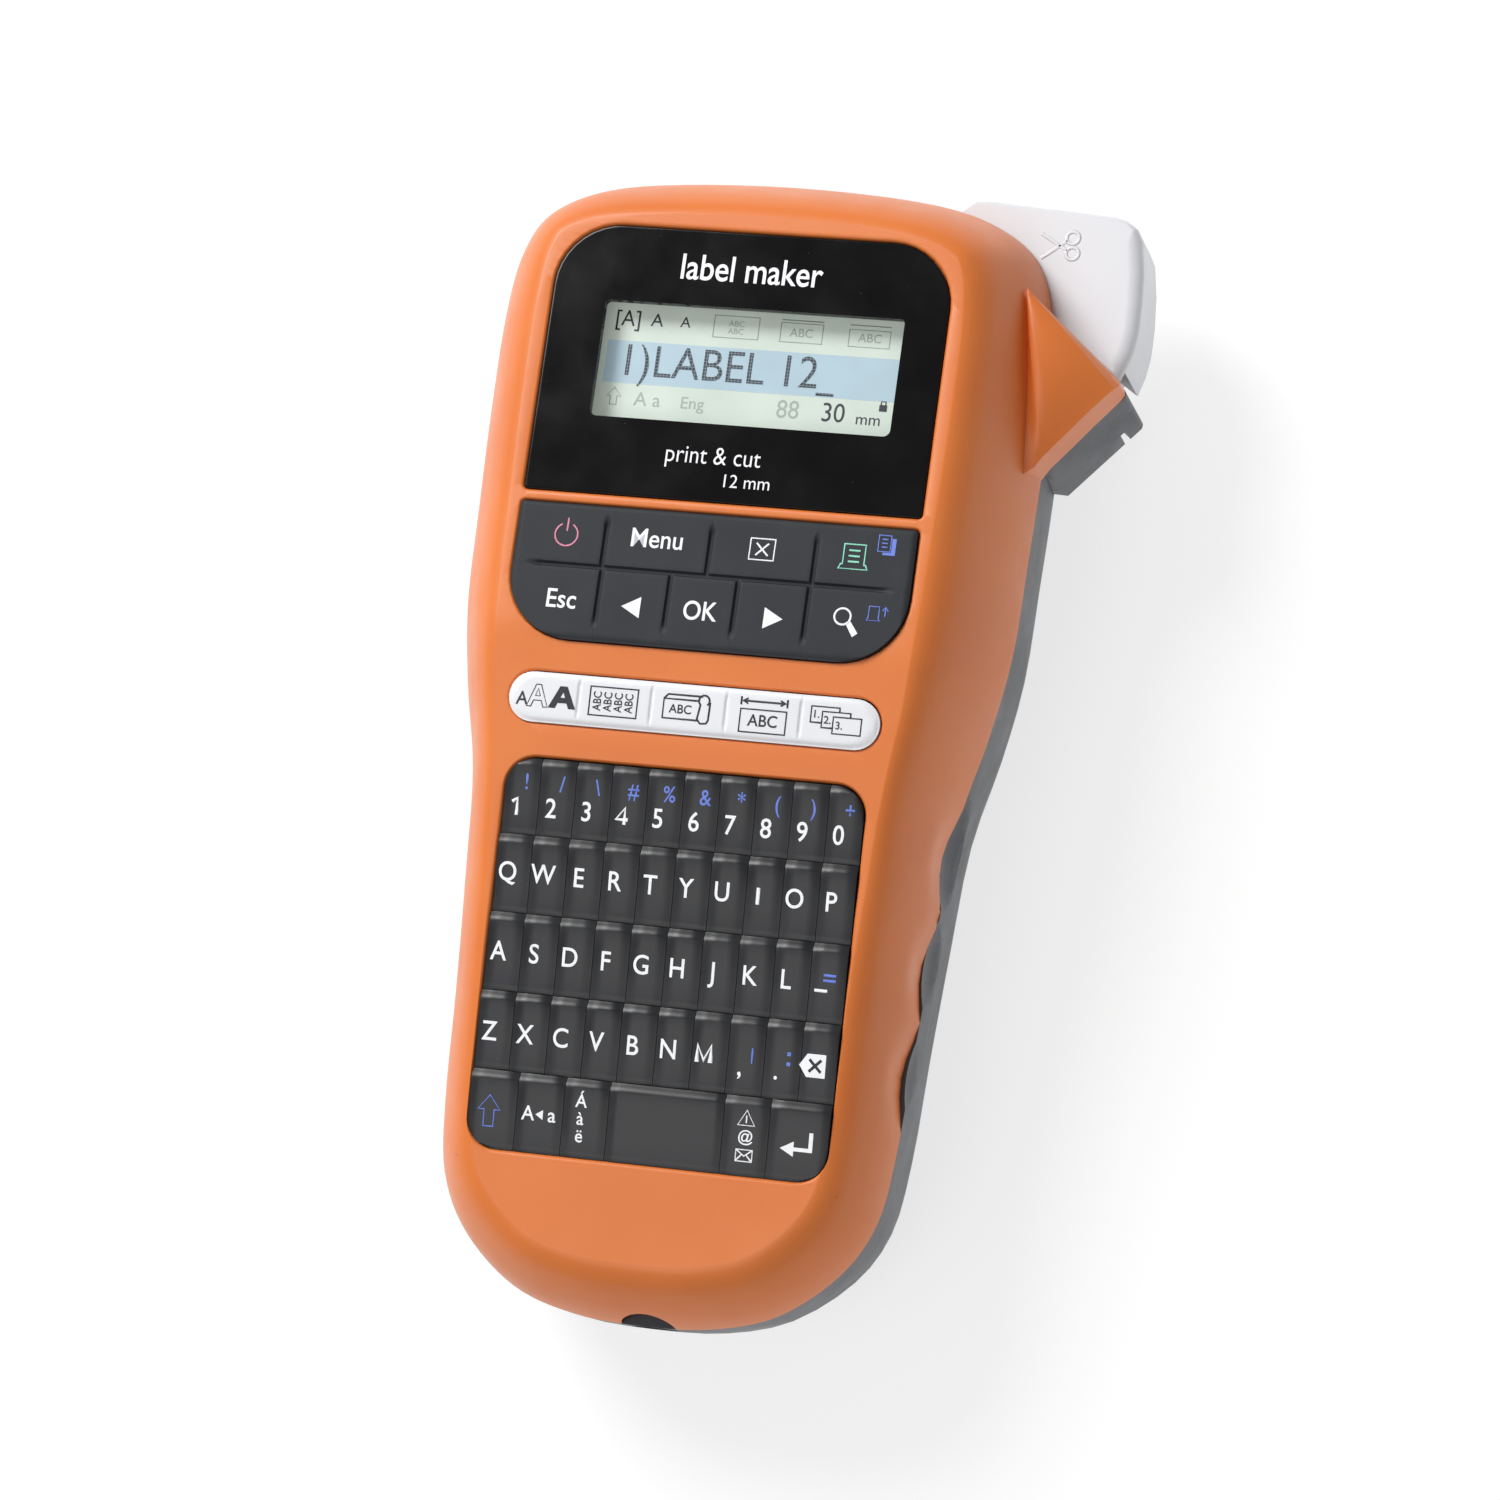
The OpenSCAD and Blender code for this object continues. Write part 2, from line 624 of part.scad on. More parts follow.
// Edges of the wider keys of the bottom row, from the left, in columns
bottom_edges = [0, 1.36, 2.66, 3.9, 7.08, 8.34, 10];
module bottom_key(i) {
    color(key_black) letter_block()
        key_cell(col_x(bottom_edges[i]), col_x(bottom_edges[i + 1]), 0, row_y, key_rise, true);
}
module key_shift() bottom_key(0);
module key_caps() bottom_key(1);
module key_accent() bottom_key(2);
module key_space() bottom_key(3);
module key_symbol() bottom_key(4);
module key_enter() bottom_key(5);

// --- Function keys, on the display face ---
module function_block() {
    on_display() translate([0, at(function_start), 0])
        within_block(function_w, function_l, function_corner, 0.6) children();
}
function_split = 13.2;
top_edges = [-0.5, -0.272, -0.008, 0.255, 0.5] * function_w;
low_edges = [-0.5, -0.269, -0.095, 0.074, 0.252, 0.5] * function_w;
module top_key(i) {
    color(key_grey) function_block()
        key_cell(top_edges[i], top_edges[i + 1], function_split, function_l, key_rise, true);
}
module low_key(i) {
    color(key_grey) function_block()
        key_cell(low_edges[i], low_edges[i + 1], 0, function_split, key_rise, true);
}
module key_power() top_key(0);
module key_menu() top_key(1);
module key_clear() top_key(2);
module key_print() top_key(3);
module key_escape() low_key(0);
module key_left() low_key(1);
module key_ok() low_key(2);
module key_right() low_key(3);
module key_find() low_key(4);

// --- Shortcut strip ---
module strip_block() {
    on_keyboard() translate([0, along(strip_start), 0])
        within_block(strip_w, strip_h, strip_h / 2 - eps, strip_h / 2 - eps) children();
}
strip_edges = [-0.5, -0.307, -0.111, 0.09, 0.289, 0.5] * strip_w;
module strip_key(i) {
    color(key_white) strip_block()
        key_cell(strip_edges[i], strip_edges[i + 1], 0, strip_h, key_rise, true);
}
module key_font() strip_key(0);
module key_text_grid() strip_key(1);
module key_flag() strip_key(2);
module key_length() strip_key(3);
module key_number() strip_key(4);

// --- Rubber sheets under the keys, with a hole for each stem ---
sheet_rim = 1.8;
module stem_hole(x1, x2, y1, y2) {
    translate([(x1 + x2) / 2, (y1 + y2) / 2, pad_top - pad_t - 1])
        cylinder(r = stem_r + 0.1, h = pad_t + 2);
}
module key_sheet(w, l) {
    translate([-w / 2 - sheet_rim, -sheet_rim, pad_top - pad_t])
        cube([w + 2 * sheet_rim, l + 2 * sheet_rim, pad_t]);
}
module letter_pad() color(rubber) {
    on_keyboard() translate([0, along(letter_start), 0]) difference() {
        key_sheet(letter_w, row_y * key_rows);
        for (row = [1:key_rows - 1]) for (i = [0:key_cols - 1])
            stem_hole(col_x(i), col_x(i + 1), row * row_y, (row + 1) * row_y);
        for (i = [0:5]) stem_hole(col_x(bottom_edges[i]), col_x(bottom_edges[i + 1]), 0, row_y);
    }
}
module shortcut_pad() color(rubber) {
    on_keyboard() translate([0, along(strip_start), 0]) difference() {
        key_sheet(strip_w, strip_h);
        for (i = [0:4]) stem_hole(strip_edges[i], strip_edges[i + 1], 0, strip_h);
    }
}
module function_pad() color(rubber) {
    on_display() translate([0, at(function_start), 0]) difference() {
        key_sheet(function_w, function_l - sheet_rim);
        for (i = [0:3]) stem_hole(top_edges[i], top_edges[i + 1], function_split, function_l);
        for (i = [0:4]) stem_hole(low_edges[i], low_edges[i + 1], 0, function_split);
    }
}

// ================= Drive =================
// Involute gear, with one tooth centred on angle "first"
pressure = 20;
backlash = 0.2;
function gear_r(teeth) = gear_module * teeth / 2;
function roll(r, base) = sqrt(pow(r / base, 2) - 1) * 180 / PI - acos(base / r);
module gear(teeth, first, t, bore) {
    r = gear_r(teeth);
    base = r * cos(pressure);
    tip = r + gear_module * 0.95;
    root = r - gear_module * 1.2;
    low = max(base, root) + eps;
    half_tooth = 90 / teeth - backlash / r * 90 / PI;
    flank = [for (k = [0:3]) let (q = mix(low, tip, k / 3))
        [q, half_tooth + roll(r, base) - roll(q, base)]];
    side = concat([[root, flank[0][1] + 1]], flank);
    points = [for (i = [0:teeth - 1]) let (c = first + i * 360 / teeth) each concat(
        [for (f = side) [f[0], c - f[1]]], [for (f = turned(side)) [f[0], c + f[1]]])];
    difference() {
        linear_extrude(t) polygon([for (p = points) p[0] * [cos(p[1]), sin(p[1])]]);
        if (bore > 0) translate([0, 0, -1]) cylinder(r = bore, h = t + 2);
    }
}

gear_z = well_top + 0.7;
gear_t = 4;
plate_z = gear_z + gear_t + 0.8;
plate_t = 1.5;
spindle_r = 2.5;
guide_x = [cos(guide_turn), sin(guide_turn)];
guide_y = [-sin(guide_turn), cos(guide_turn)];
function from_guide(x, y) = guide_tip + guide_x * x + guide_y * y;
tape_y = anvil_y - 0.55;
tape_t = 0.2;
platen_x = 31.5;
platen_y = tape_y + tape_t + platen_r - 0.05;
platen_at = from_guide(platen_x, platen_y);
idler_at = platen_at - [gear_r(idler_teeth) + gear_r(platen_teeth), 0];
pinion_at = idler_at - [gear_r(idler_teeth) + gear_r(pinion_teeth), 0];
takeup_at = idler_at - [0, gear_r(idler_teeth) + gear_r(takeup_teeth)];

module engine_frame() color(steel) {
    difference() {
        union() {
            translate([pinion_at[0] - 12, takeup_at[1] - 8, plate_z])
                cube([platen_at[0] - pinion_at[0] + 18, platen_at[1] - takeup_at[1] + 19, plate_t]);
            for (p = [[pinion_at[0] - 9, takeup_at[1] - 5], [pinion_at[0] - 9, pinion_at[1] + 8],
                [platen_at[0] + 2, takeup_at[1] - 5]])
                translate([p[0], p[1], well_top]) cylinder(r = 2, h = plate_z - well_top + eps);
        }
        recess(recess_wall + 0.4, 0, 50);
        translate([platen_at[0], platen_at[1], 0]) cylinder(r = shaft_r + run_gap, h = 50);
        translate([takeup_at[0], takeup_at[1], 0]) cylinder(r = shaft_r + run_gap, h = 50);
        translate([idler_at[0], idler_at[1], 0]) cylinder(r = shaft_r, h = 50);
        translate([pinion_at[0], pinion_at[1], 0]) cylinder(r = 2.5, h = 50);
    }
}

motor_r = 8;
motor_len = 14;
motor_shaft_r = 1;
module drive_motor() color(steel) {
    translate([pinion_at[0], pinion_at[1], plate_z + plate_t]) difference() {
        intersection() {
            cylinder(r = motor_r, h = motor_len);
            translate([-motor_r, -motor_r * 0.78, -1]) cube([motor_r * 2, motor_r * 1.56, motor_len + 2]);
        }
        translate([0, 0, -1]) cylinder(r = motor_shaft_r + run_gap, h = motor_len - 2);
    }
}
module motor_pinion() color(nylon) {
    translate([pinion_at[0], pinion_at[1], gear_z]) {
        gear(pinion_teeth, 180 / pinion_teeth, gear_t, 0);
        translate([0, 0, gear_t - eps]) cylinder(r = motor_shaft_r, h = motor_len - 2);
    }
}
module idler_gear() color(nylon) {
    translate([idler_at[0], idler_at[1], gear_z]) gear(idler_teeth, 0, gear_t, shaft_r + run_gap);
}
module gear_pins() color(steel) {
    translate([idler_at[0], idler_at[1], well_top]) cylinder(r = shaft_r, h = plate_z + plate_t - well_top);
}
sleeve_low = cassette_low + 1.2;
sleeve_h = cassette_t - 2;
module platen_gear() color(nylon) {
    translate([platen_at[0], platen_at[1], 0]) {
        translate([0, 0, gear_z]) gear(platen_teeth, 180 + 180 / platen_teeth, gear_t, 0);
        translate([0, 0, sleeve_low - 0.6]) cylinder(r = shaft_r, h = plate_z + 1.2 - sleeve_low + 0.6);
    }
}
module platen_roller() color(rubber) {
    translate([platen_at[0], platen_at[1], sleeve_low]) difference() {
        cylinder(r = platen_r - 0.1, h = sleeve_h);
        translate([0, 0, -1]) cylinder(r = shaft_r, h = sleeve_h + 2);
    }
}
module takeup_gear() color(nylon) {
    translate([takeup_at[0], takeup_at[1], 0]) {
        translate([0, 0, gear_z]) gear(takeup_teeth, 90 + 180 / takeup_teeth, gear_t, 0);
        translate([0, 0, cassette_low + 3]) cylinder(r = spindle_r, h = gear_z - cassette_low - 3 + eps);
        translate([0, 0, gear_z + gear_t - eps]) cylinder(r = shaft_r, h = plate_t + 1);
    }
}
head_t = 1.7;
head_low = cassette_low + 3.4;
module print_head() color([0.75, 0.72, 0.65]) {
    at_guide() translate([platen_x - 3.6, tape_y - 0.15 - head_t, head_low])
        cube([7.2, head_t, well_z - head_low]);
}

// ================= Cassette =================
cassette_right = from_guide(platen_x + platen_r + 0.2, 0)[0] - 7.7;
cassette_x = cassette_right - cassette_w / 2;
cassette_top_y = platen_at[1] - 2.4;
cassette_y = cassette_top_y - cassette_l / 2;
shell_t = 1.2;
tape_spool_at = [cassette_x - cassette_w / 2 + 19, cassette_y];
ribbon_at = [cassette_right - 20, cassette_y - cassette_l / 2 + 9.5];
spool_low = cassette_low + shell_t + 0.5;
spool_h = cassette_t - 2 * shell_t - 1;
hub_r = 3;

module cassette_case() color([0.22, 0.22, 0.24]) {
    difference() {
        translate([cassette_x - cassette_w / 2, cassette_y - cassette_l / 2, cassette_low])
            cube([cassette_w, cassette_l, cassette_t]);
        translate([cassette_x - cassette_w / 2 + shell_t, cassette_y - cassette_l / 2 + shell_t,
            cassette_low + shell_t])
            cube([cassette_w - 2 * shell_t, cassette_l - 2 * shell_t, cassette_t - 2 * shell_t]);
        // Openings that show the tape and let the drive spindle in
        translate([takeup_at[0], takeup_at[1], 0]) cylinder(r = hub_r + 0.6, h = 40);
        translate([tape_spool_at[0] + 1, tape_spool_at[1] + 5, cassette_low - 1])
            cube([14, 12, shell_t + 2]);
        // Mouth that the tape leaves by
        translate([cassette_right - 4, cassette_top_y - 3, cassette_low + 1.6])
            cube([3, 5, cassette_t - 3.2]);
    }
    for (p = [tape_spool_at, ribbon_at]) translate([p[0], p[1], cassette_low + shell_t - eps])
        cylinder(r = hub_r - 0.2, h = cassette_t - 2 * shell_t + 2 * eps);
}
module spool(place, r, colour) {
    color(colour) translate([place[0], place[1], spool_low]) difference() {
        cylinder(r = r, h = spool_h);
        translate([0, 0, -1]) cylinder(r = hub_r, h = spool_h + 2);
    }
}
tape_roll_r = 15;
ribbon_roll_r = 7;
takeup_roll_r = 6;
module tape_spool() spool(tape_spool_at, tape_roll_r, [0.95, 0.95, 0.93]);
module ribbon_spool() spool(ribbon_at, ribbon_roll_r, [0.1, 0.1, 0.12]);
module takeup_spool() spool(takeup_at, takeup_roll_r, [0.1, 0.1, 0.12]);

// The tape runs from the cassette round the platen and along the guide to the blade
module label_tape() color([0.97, 0.97, 0.95]) {
    low = cassette_low + (cassette_t - tape_w) / 2;
    wrap = platen_r + 0.05;
    at_guide() translate([0, 0, low]) {
        translate([blade_x + blade_t + 0.4, platen_y - wrap - tape_t, 0])
            cube([platen_x - blade_x - blade_t - 0.4, tape_t, tape_w]);
        translate([platen_x, platen_y, 0]) rotate(-90) rotate_extrude(angle = 90, $fn = 96)
            translate([wrap, 0]) square([tape_t, tape_w]);
        translate([platen_x + wrap, platen_y, 0]) cube([tape_t, 3, tape_w]);
    }
}

// ================= Cutter =================
lever_pivot_x = 43.8;
lever_pivot_y = 1.5;
lever_pivot = from_guide(lever_pivot_x, lever_pivot_y);
lever_low = 6;
lever_boss_r = 3.4;
boss_low = cover_z + 9;
arm_w = 6;
blade_x = 11.5;
blade_t = 0.6;
// How far the lever's inner edge stands off the tape when it is pressed home
function swing(x) = (lever_pivot_x - x) * sin(cut_angle);
function lever_edge(x) = tape_y - 0.35 - swing(x);
module lever_plan() {
    polygon([
        [2, lever_edge(2)], [step_x - 0.9, lever_edge(step_x - 0.9)],
        [step_x - 0.9, step_y - swing(step_x) - 0.4], [bay_start + 0.7, step_y - swing(bay_start) - 0.3],
        [lever_pivot_x - 2, lever_pivot_y - 0.5], [lever_pivot_x + 2.4, lever_pivot_y - 1.6],
        [bay_end - 3, -6.4],
        [bay_end - 4.2, -8], [34, -14.8], [24.8, -21.2], [22.4, -22.3], [20, -22.4], [17.8, -21.4],
        [13.4, -17.4], [9.4, -13], [6.2, -9], [4.2, -5.6], [2.9, -2.4]
    ]);
}
// Room for the wall round the guide's tip when the lever is pressed home
tip_room = 0.35;
function tip_edge(x) = tip_wall_y - tip_room - swing(x);
module tip_notch() {
    inner = tip_wall_x + 0.6;
    polygon([[-5, tip_edge(-5)], [inner, tip_edge(inner)], [inner, 20], [-5, 20]]);
}
plate_low = parting_z + 0.2;
module cutter_lever() color(key_white) {
    difference() {
        at_guide() union() {
            translate([0, 0, lever_low]) linear_extrude(boss_low - lever_low) difference() {
                lever_plan();
                // Room for the spring and the shelf round the pin
                translate([lever_pivot_x - 8, -9.5]) square([20, 20]);
                tip_notch();
                // Below its middle only an arm that holds the blade is left
                translate([-10, -far - arm_w]) square([far + 20, far]);
                translate([-10, -far]) square([tip_wall_x + 10.6, 2 * far]);
            }
            translate([0, 0, boss_low - eps]) linear_extrude(plate_low - boss_low + eps) difference() {
                union() {
                    lever_plan();
                    translate([lever_pivot_x, lever_pivot_y]) circle(lever_boss_r);
                }
                tip_notch();
            }
            translate([0, 0, plate_low - eps]) linear_extrude(lever_top - plate_low + eps) union() {
                lever_plan();
                translate([lever_pivot_x, lever_pivot_y]) circle(lever_boss_r);
            }
        }
        translate([lever_pivot[0], lever_pivot[1], 0]) cylinder(r = pin_r + run_gap, h = 60);
        // Slot that holds the blade
        at_guide() translate([blade_x, lever_edge(blade_x) - 3, cassette_low + 1])
            cube([blade_t, 6, tape_w + 6]);
    }
}
module cutter_blade() color(steel) {
    at_guide() translate([blade_x, lever_edge(blade_x) - 3, cassette_low + 3.2])
        cube([blade_t, 3.35, tape_w + 3]);
}
module cutter_pin() color(steel) {
    translate([lever_pivot[0], lever_pivot[1], cover_z + 1]) cylinder(r = pin_r, h = lip_z + 2.5 - cover_z - 1);
}
spring_wire = 0.35;
module cutter_spring() color(steel) {
    translate([lever_pivot[0], lever_pivot[1], cover_z + 3.6]) for (i = [0:4])
        translate([0, 0, i * 0.9]) rotate_extrude() translate([pin_r + 0.8, 0]) circle(spring_wire);
}

// ================= Batteries =================
cells = 6;
cell_pitch = cell_d + 0.4;
cell_start = 40;
cell_end = cell_start + cell_l;
button_h = 0.9;
function cell_x(i) = (i - (cells - 1) / 2) * cell_pitch;
module batteries() color([0.25, 0.35, 0.55]) {
    for (i = [0:cells - 1]) {
        up = i % 2 == 0;
        translate([cell_x(i), at(up ? cell_start : cell_end), cell_z]) rotate([up ? -90 : 90, 0, 0]) {
            cylinder(r = cell_d / 2, h = cell_l);
            cylinder(r = 1.9, h = cell_l + button_h);
        }
    }
}
contact_t = 0.4;
spring_room = 3.2;
contact_low = cell_low + 1.5;
module battery_contacts() color(steel) {
    for (i = [0:cells - 1]) {
        up = i % 2 == 0;
        for (side = [0, 1]) {
            button_side = (side == 1) == up;
            reach = button_side ? button_h + 0.15 : spring_room + 0.15;
            s = side == 1 ? cell_end + reach : cell_start - reach - contact_t;
            stretch_box(cell_x(i) - 4, cell_x(i) + 4, s, s + contact_t, contact_low, tray_z);
        }
    }
}
module battery_springs() color(steel) {
    turns = 4;
    for (i = [0:cells - 1]) {
        up = i % 2 == 0;
        s = up ? cell_start - spring_room - 0.15 : cell_end + spring_room + 0.15;
        translate([cell_x(i), at(s), cell_z]) rotate([up ? -90 : 90, 0, 0]) for (k = [0:turns - 1])
            translate([0, 0, 0.35 + k * 0.8]) rotate_extrude() translate([3.2 - k * 0.4, 0])
                circle(0.35);
    }
}

front_case();
rear_case();
back_cover();
case_screws();
display_window();
lcd_panel();
lcd_holder();
display_board();
key_board();
board_chips();
display_ribbon();
power_jack();
function_pad();
shortcut_pad();
letter_pad();
key_power();
key_menu();
key_clear();
key_print();
key_escape();
key_left();
key_ok();
key_right();
key_find();
key_font();
key_text_grid();
key_flag();
key_length();
key_number();
row_digits();
row_upper();
row_middle();
row_lower();
key_shift();
key_caps();
key_accent();
key_space();
key_symbol();
key_enter();
engine_frame();
drive_motor();
motor_pinion();
idler_gear();
gear_pins();
platen_gear();
platen_roller();
takeup_gear();
print_head();
cassette_case();
tape_spool();
ribbon_spool();
takeup_spool();
label_tape();
cutter_lever();
cutter_blade();
cutter_spring();
cutter_pin();
batteries();
battery_contacts();
battery_springs();
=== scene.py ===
"""Looks of a hand-held label maker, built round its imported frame."""

from math import cos, hypot, pi, radians, sin, tan

import bmesh
import bpy
from mathutils import Matrix, Vector


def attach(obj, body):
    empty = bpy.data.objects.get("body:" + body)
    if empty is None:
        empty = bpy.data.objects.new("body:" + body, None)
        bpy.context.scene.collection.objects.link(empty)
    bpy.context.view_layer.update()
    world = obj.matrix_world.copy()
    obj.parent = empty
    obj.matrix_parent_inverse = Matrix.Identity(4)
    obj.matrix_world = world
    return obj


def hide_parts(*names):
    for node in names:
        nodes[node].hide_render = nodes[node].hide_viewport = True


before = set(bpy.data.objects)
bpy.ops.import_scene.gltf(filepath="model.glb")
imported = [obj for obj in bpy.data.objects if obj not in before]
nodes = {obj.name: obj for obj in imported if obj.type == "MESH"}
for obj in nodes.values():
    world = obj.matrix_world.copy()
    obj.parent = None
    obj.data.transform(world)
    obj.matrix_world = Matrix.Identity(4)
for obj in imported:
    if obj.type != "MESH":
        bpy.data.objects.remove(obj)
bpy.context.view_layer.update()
MM = 0.001

# ---------------------------------------------------------------- sizes, in mm
CASE_L, CASE_W, CASE_H, GRIP_W = 207.0, 101.6, 59.0, 82.4
PARTING, WALL = 34.0, 2.2
TILT = radians(6.45)
BEND = 117.5
LETTER_S, COL, ROW = 26.7, 6.46, 13.62
LETTER_W, LETTER_L = COL * 10, ROW * 5
ROW_Y = ROW / cos(TILT)
STRIP_S, STRIP_W, STRIP_L = 100.8, 66.8, 9.1
FUNC_S, FUNC_W, FUNC_L, FUNC_SPLIT = 115.5, 71.8, 24.6, 13.2
LENS_S, LENS_W, LENS_L = 142.1, 71.8, 49.2
KEY_RISE, KEY_UNDER = 0.9, 1.15
KEY_S = 60.0


def at(s):
    """y of a place that is s from the hand end."""
    return s - CASE_L / 2


def face_z(s):
    return min(CASE_H, CASE_H - tan(TILT) * (BEND - s))


def along(s):
    return (s - KEY_S) / cos(TILT)


KEYBOARD = Matrix.Translation((0, at(KEY_S), face_z(KEY_S))) @ Matrix.Rotation(TILT, 4, "X")
DISPLAY = Matrix.Translation((0, 0, CASE_H))
LETTERS = KEYBOARD @ Matrix.Translation((0, along(LETTER_S), 0))
STRIP = KEYBOARD @ Matrix.Translation((0, along(STRIP_S), 0))
FUNCTIONS = DISPLAY @ Matrix.Translation((0, at(FUNC_S), 0))
LENS = DISPLAY @ Matrix.Translation((0, at(LENS_S), 0))
LEVEL = Matrix.Identity(4)


# ---------------------------------------------------------------- finishes
class Wire:
    """A value in a finish's node tree, so that shader maths reads as sums."""

    def __init__(self, finish, socket):
        self.finish, self.socket = finish, socket

    def sum(self, operation, a, b):
        return self.finish.node("ShaderNodeMath", {"operation": operation}, {0: a, 1: b})

    def __add__(self, other):
        return self.sum("ADD", self, other)

    def __sub__(self, other):
        return self.sum("SUBTRACT", self, other)

    def __rsub__(self, other):
        return self.sum("SUBTRACT", other, self)

    def __mul__(self, other):
        return self.sum("MULTIPLY", self, other)

    def __gt__(self, other):
        return self.sum("GREATER_THAN", self, other)

    def wrapped(self, pitch):
        return self.sum("FLOORED_MODULO", self, pitch)


class Finish:
    """A procedural surface on one Principled shader."""

    def __init__(self, name, slot):
        self.material = bpy.data.materials.new(name)
        self.material.use_nodes = True
        self.slot = slot
        self.tree = self.material.node_tree
        self.shader = self.tree.nodes["Principled BSDF"]
        self.place = self.node("ShaderNodeTexCoord", {}, {}, "Object")

    def node(self, kind, settings, values, output=0):
        """Adds a node, sets it up, then gives its sockets their values or links."""
        made = self.tree.nodes.new(kind)
        for key, value in settings.items():
            setattr(made, key, value)
        for key, value in values.items():
            self.feed(made.inputs[key], value)
        return Wire(self, made.outputs[output])

    def feed(self, socket, value):
        if isinstance(value, Wire):
            self.tree.links.new(value.socket, socket)
        else:
            socket.default_value = value

    def set(self, **values):
        """Principled sockets by name, with _ for a space."""
        for key, value in values.items():
            self.feed(self.shader.inputs[key.replace("_", " ")], value)
        return self

    def noise(self, size, detail=2.0, rough=0.5, stretch=None):
        """Noise with lumps of about that size in mm."""
        where = self.place
        if stretch:
            where = self.node("ShaderNodeMapping", {}, {"Vector": where, "Scale": stretch})
        return self.node("ShaderNodeTexNoise", {}, {
            "Vector": where, "Scale": 1 / (size * MM), "Detail": detail, "Roughness": rough})

    def band(self, value, low, high, to_low=0.0, to_high=1.0):
        """A value spread from one range to another, held at both ends."""
        return self.node("ShaderNodeMapRange", {"clamp": True}, {
            "Value": value, "From Min": low, "From Max": high, "To Min": to_low, "To Max": to_high})

    def blend(self, share, a, b):
        """Colour a turning into colour b."""
        made = self.tree.nodes.new("ShaderNodeMix")
        made.data_type = "RGBA"
        self.feed(made.inputs[0], share)
        self.feed(made.inputs[6], a)
        self.feed(made.inputs[7], b)
        return Wire(self, made.outputs[2])

    def relief(self, height, depth, under=None):
        """A bump whose height of 1 stands depth mm proud."""
        values = {"Strength": 1.0, "Distance": depth * MM, "Height": height}
        if under:
            values["Normal"] = under
        return self.node("ShaderNodeBump", {}, values)


def tint(r, g, b):
    """A screen colour from 0 to 255 as a linear one."""
    def linear(c):
        c /= 255
        return c / 12.92 if c <= 0.04045 else ((c + 0.055) / 1.055) ** 2.4
    return (linear(r), linear(g), linear(b), 1.0)


def moulded(name, slot, colour, deep, rough=0.42, grain=0.35, grain_depth=0.012, scuffs=0.35):
    """Moulded plastic: fine grain, slow drift of colour, rubbed patches and hairline scuffs."""
    f = Finish(name, slot)
    drift = f.noise(26, 3)
    patches = f.noise(9, 4, 0.6)
    fine = f.noise(grain, 2, 0.6)
    scuff = f.band(f.noise(3.5, 5, 0.7, (1, 0.12, 1)), 0.60, 0.70)
    f.set(
        Base_Color=f.blend(f.band(drift, 0.35, 0.65) * 0.55 + fine * 0.25, colour, deep),
        Roughness=f.band(patches, 0.3, 0.7, rough - 0.05, rough + 0.07) - scuff * (0.1 * scuffs),
        Normal=f.relief(fine, grain_depth, f.relief(scuff, -0.004 * scuffs)),
        Coat_Weight=0.12, Coat_Roughness=0.3, IOR=1.47)
    return f


def rubbed(name, slot, colour, pale, rough=0.5, dust=0.6, gloss=0.3):
    """Silicone rubber: very fine matt skin with specks of dust and a faint polish."""
    f = Finish(name, slot)
    skin = f.noise(0.22, 2, 0.6)
    polish = f.noise(7, 3)
    specks = f.band(f.noise(0.5, 1, 0.5), 0.80, 0.84) * f.band(f.noise(11, 2), 0.48, 0.62)
    f.set(
        Base_Color=f.blend(f.band(polish, 0.3, 0.7) * 0.05 + specks * dust, colour, pale),
        Roughness=f.band(polish, 0.3, 0.7, rough - 0.03, rough + 0.04) + specks * 0.3,
        Normal=f.relief(skin, 0.008), Specular_IOR_Level=gloss)
    return f


def printed(name, slot, colour, worn, rough=0.45, painted_glow=0.0):
    """Printed ink with slightly uneven cover, and an optional painted glow from emission."""
    f = Finish(name, slot)
    cover = f.noise(0.6, 3, 0.65)
    f.set(Base_Color=f.blend(f.band(cover, 0.35, 0.75) * 0.35, colour, worn),
          Roughness=f.band(cover, 0.3, 0.7, rough - 0.05, rough + 0.08),
          Normal=f.relief(cover, 0.004))
    # Emission here is a painted glow that brightens the ink, which is no lamp.
    if painted_glow:
        f.set(Emission_Color=colour, Emission_Strength=painted_glow)
    return f


def metal(name, slot, colour, dull, rough=0.3):
    """Rolled or drawn metal with fine lines and a few dull patches."""
    f = Finish(name, slot)
    lines = f.noise(0.5, 3, 0.6, (1, 0.06, 1))
    patches = f.noise(4, 4, 0.6)
    f.set(
        Base_Color=f.blend(f.band(patches, 0.35, 0.7), colour, dull), Metallic=1.0,
        Roughness=f.band(patches, 0.3, 0.7, rough - 0.06, rough + 0.12) + lines * 0.08,
        Normal=f.relief(lines, 0.006))
    return f


def lens_plastic():
    """Hard clear plastic printed black behind: deep gloss, dust and a few fine scratches."""
    f = Finish("lens_black", "lens")
    dust = f.band(f.noise(0.35, 1, 0.5), 0.80, 0.84) * f.band(f.noise(9, 2), 0.46, 0.6)
    hairs = f.band(f.noise(5, 2, 0.6, (0.06, 1.6, 1)), 0.74, 0.755) \
        * f.band(f.noise(14, 1), 0.5, 0.6)
    smear = f.noise(12, 3)
    f.set(
        Base_Color=f.blend(dust * 0.45 + hairs * 0.25, tint(13, 12, 14), tint(128, 124, 128)),
        Roughness=f.band(smear, 0.3, 0.7, 0.10, 0.20) + dust * 0.4,
        Normal=f.relief(f.noise(6, 2), 0.002), Specular_IOR_Level=0.22)
    return f


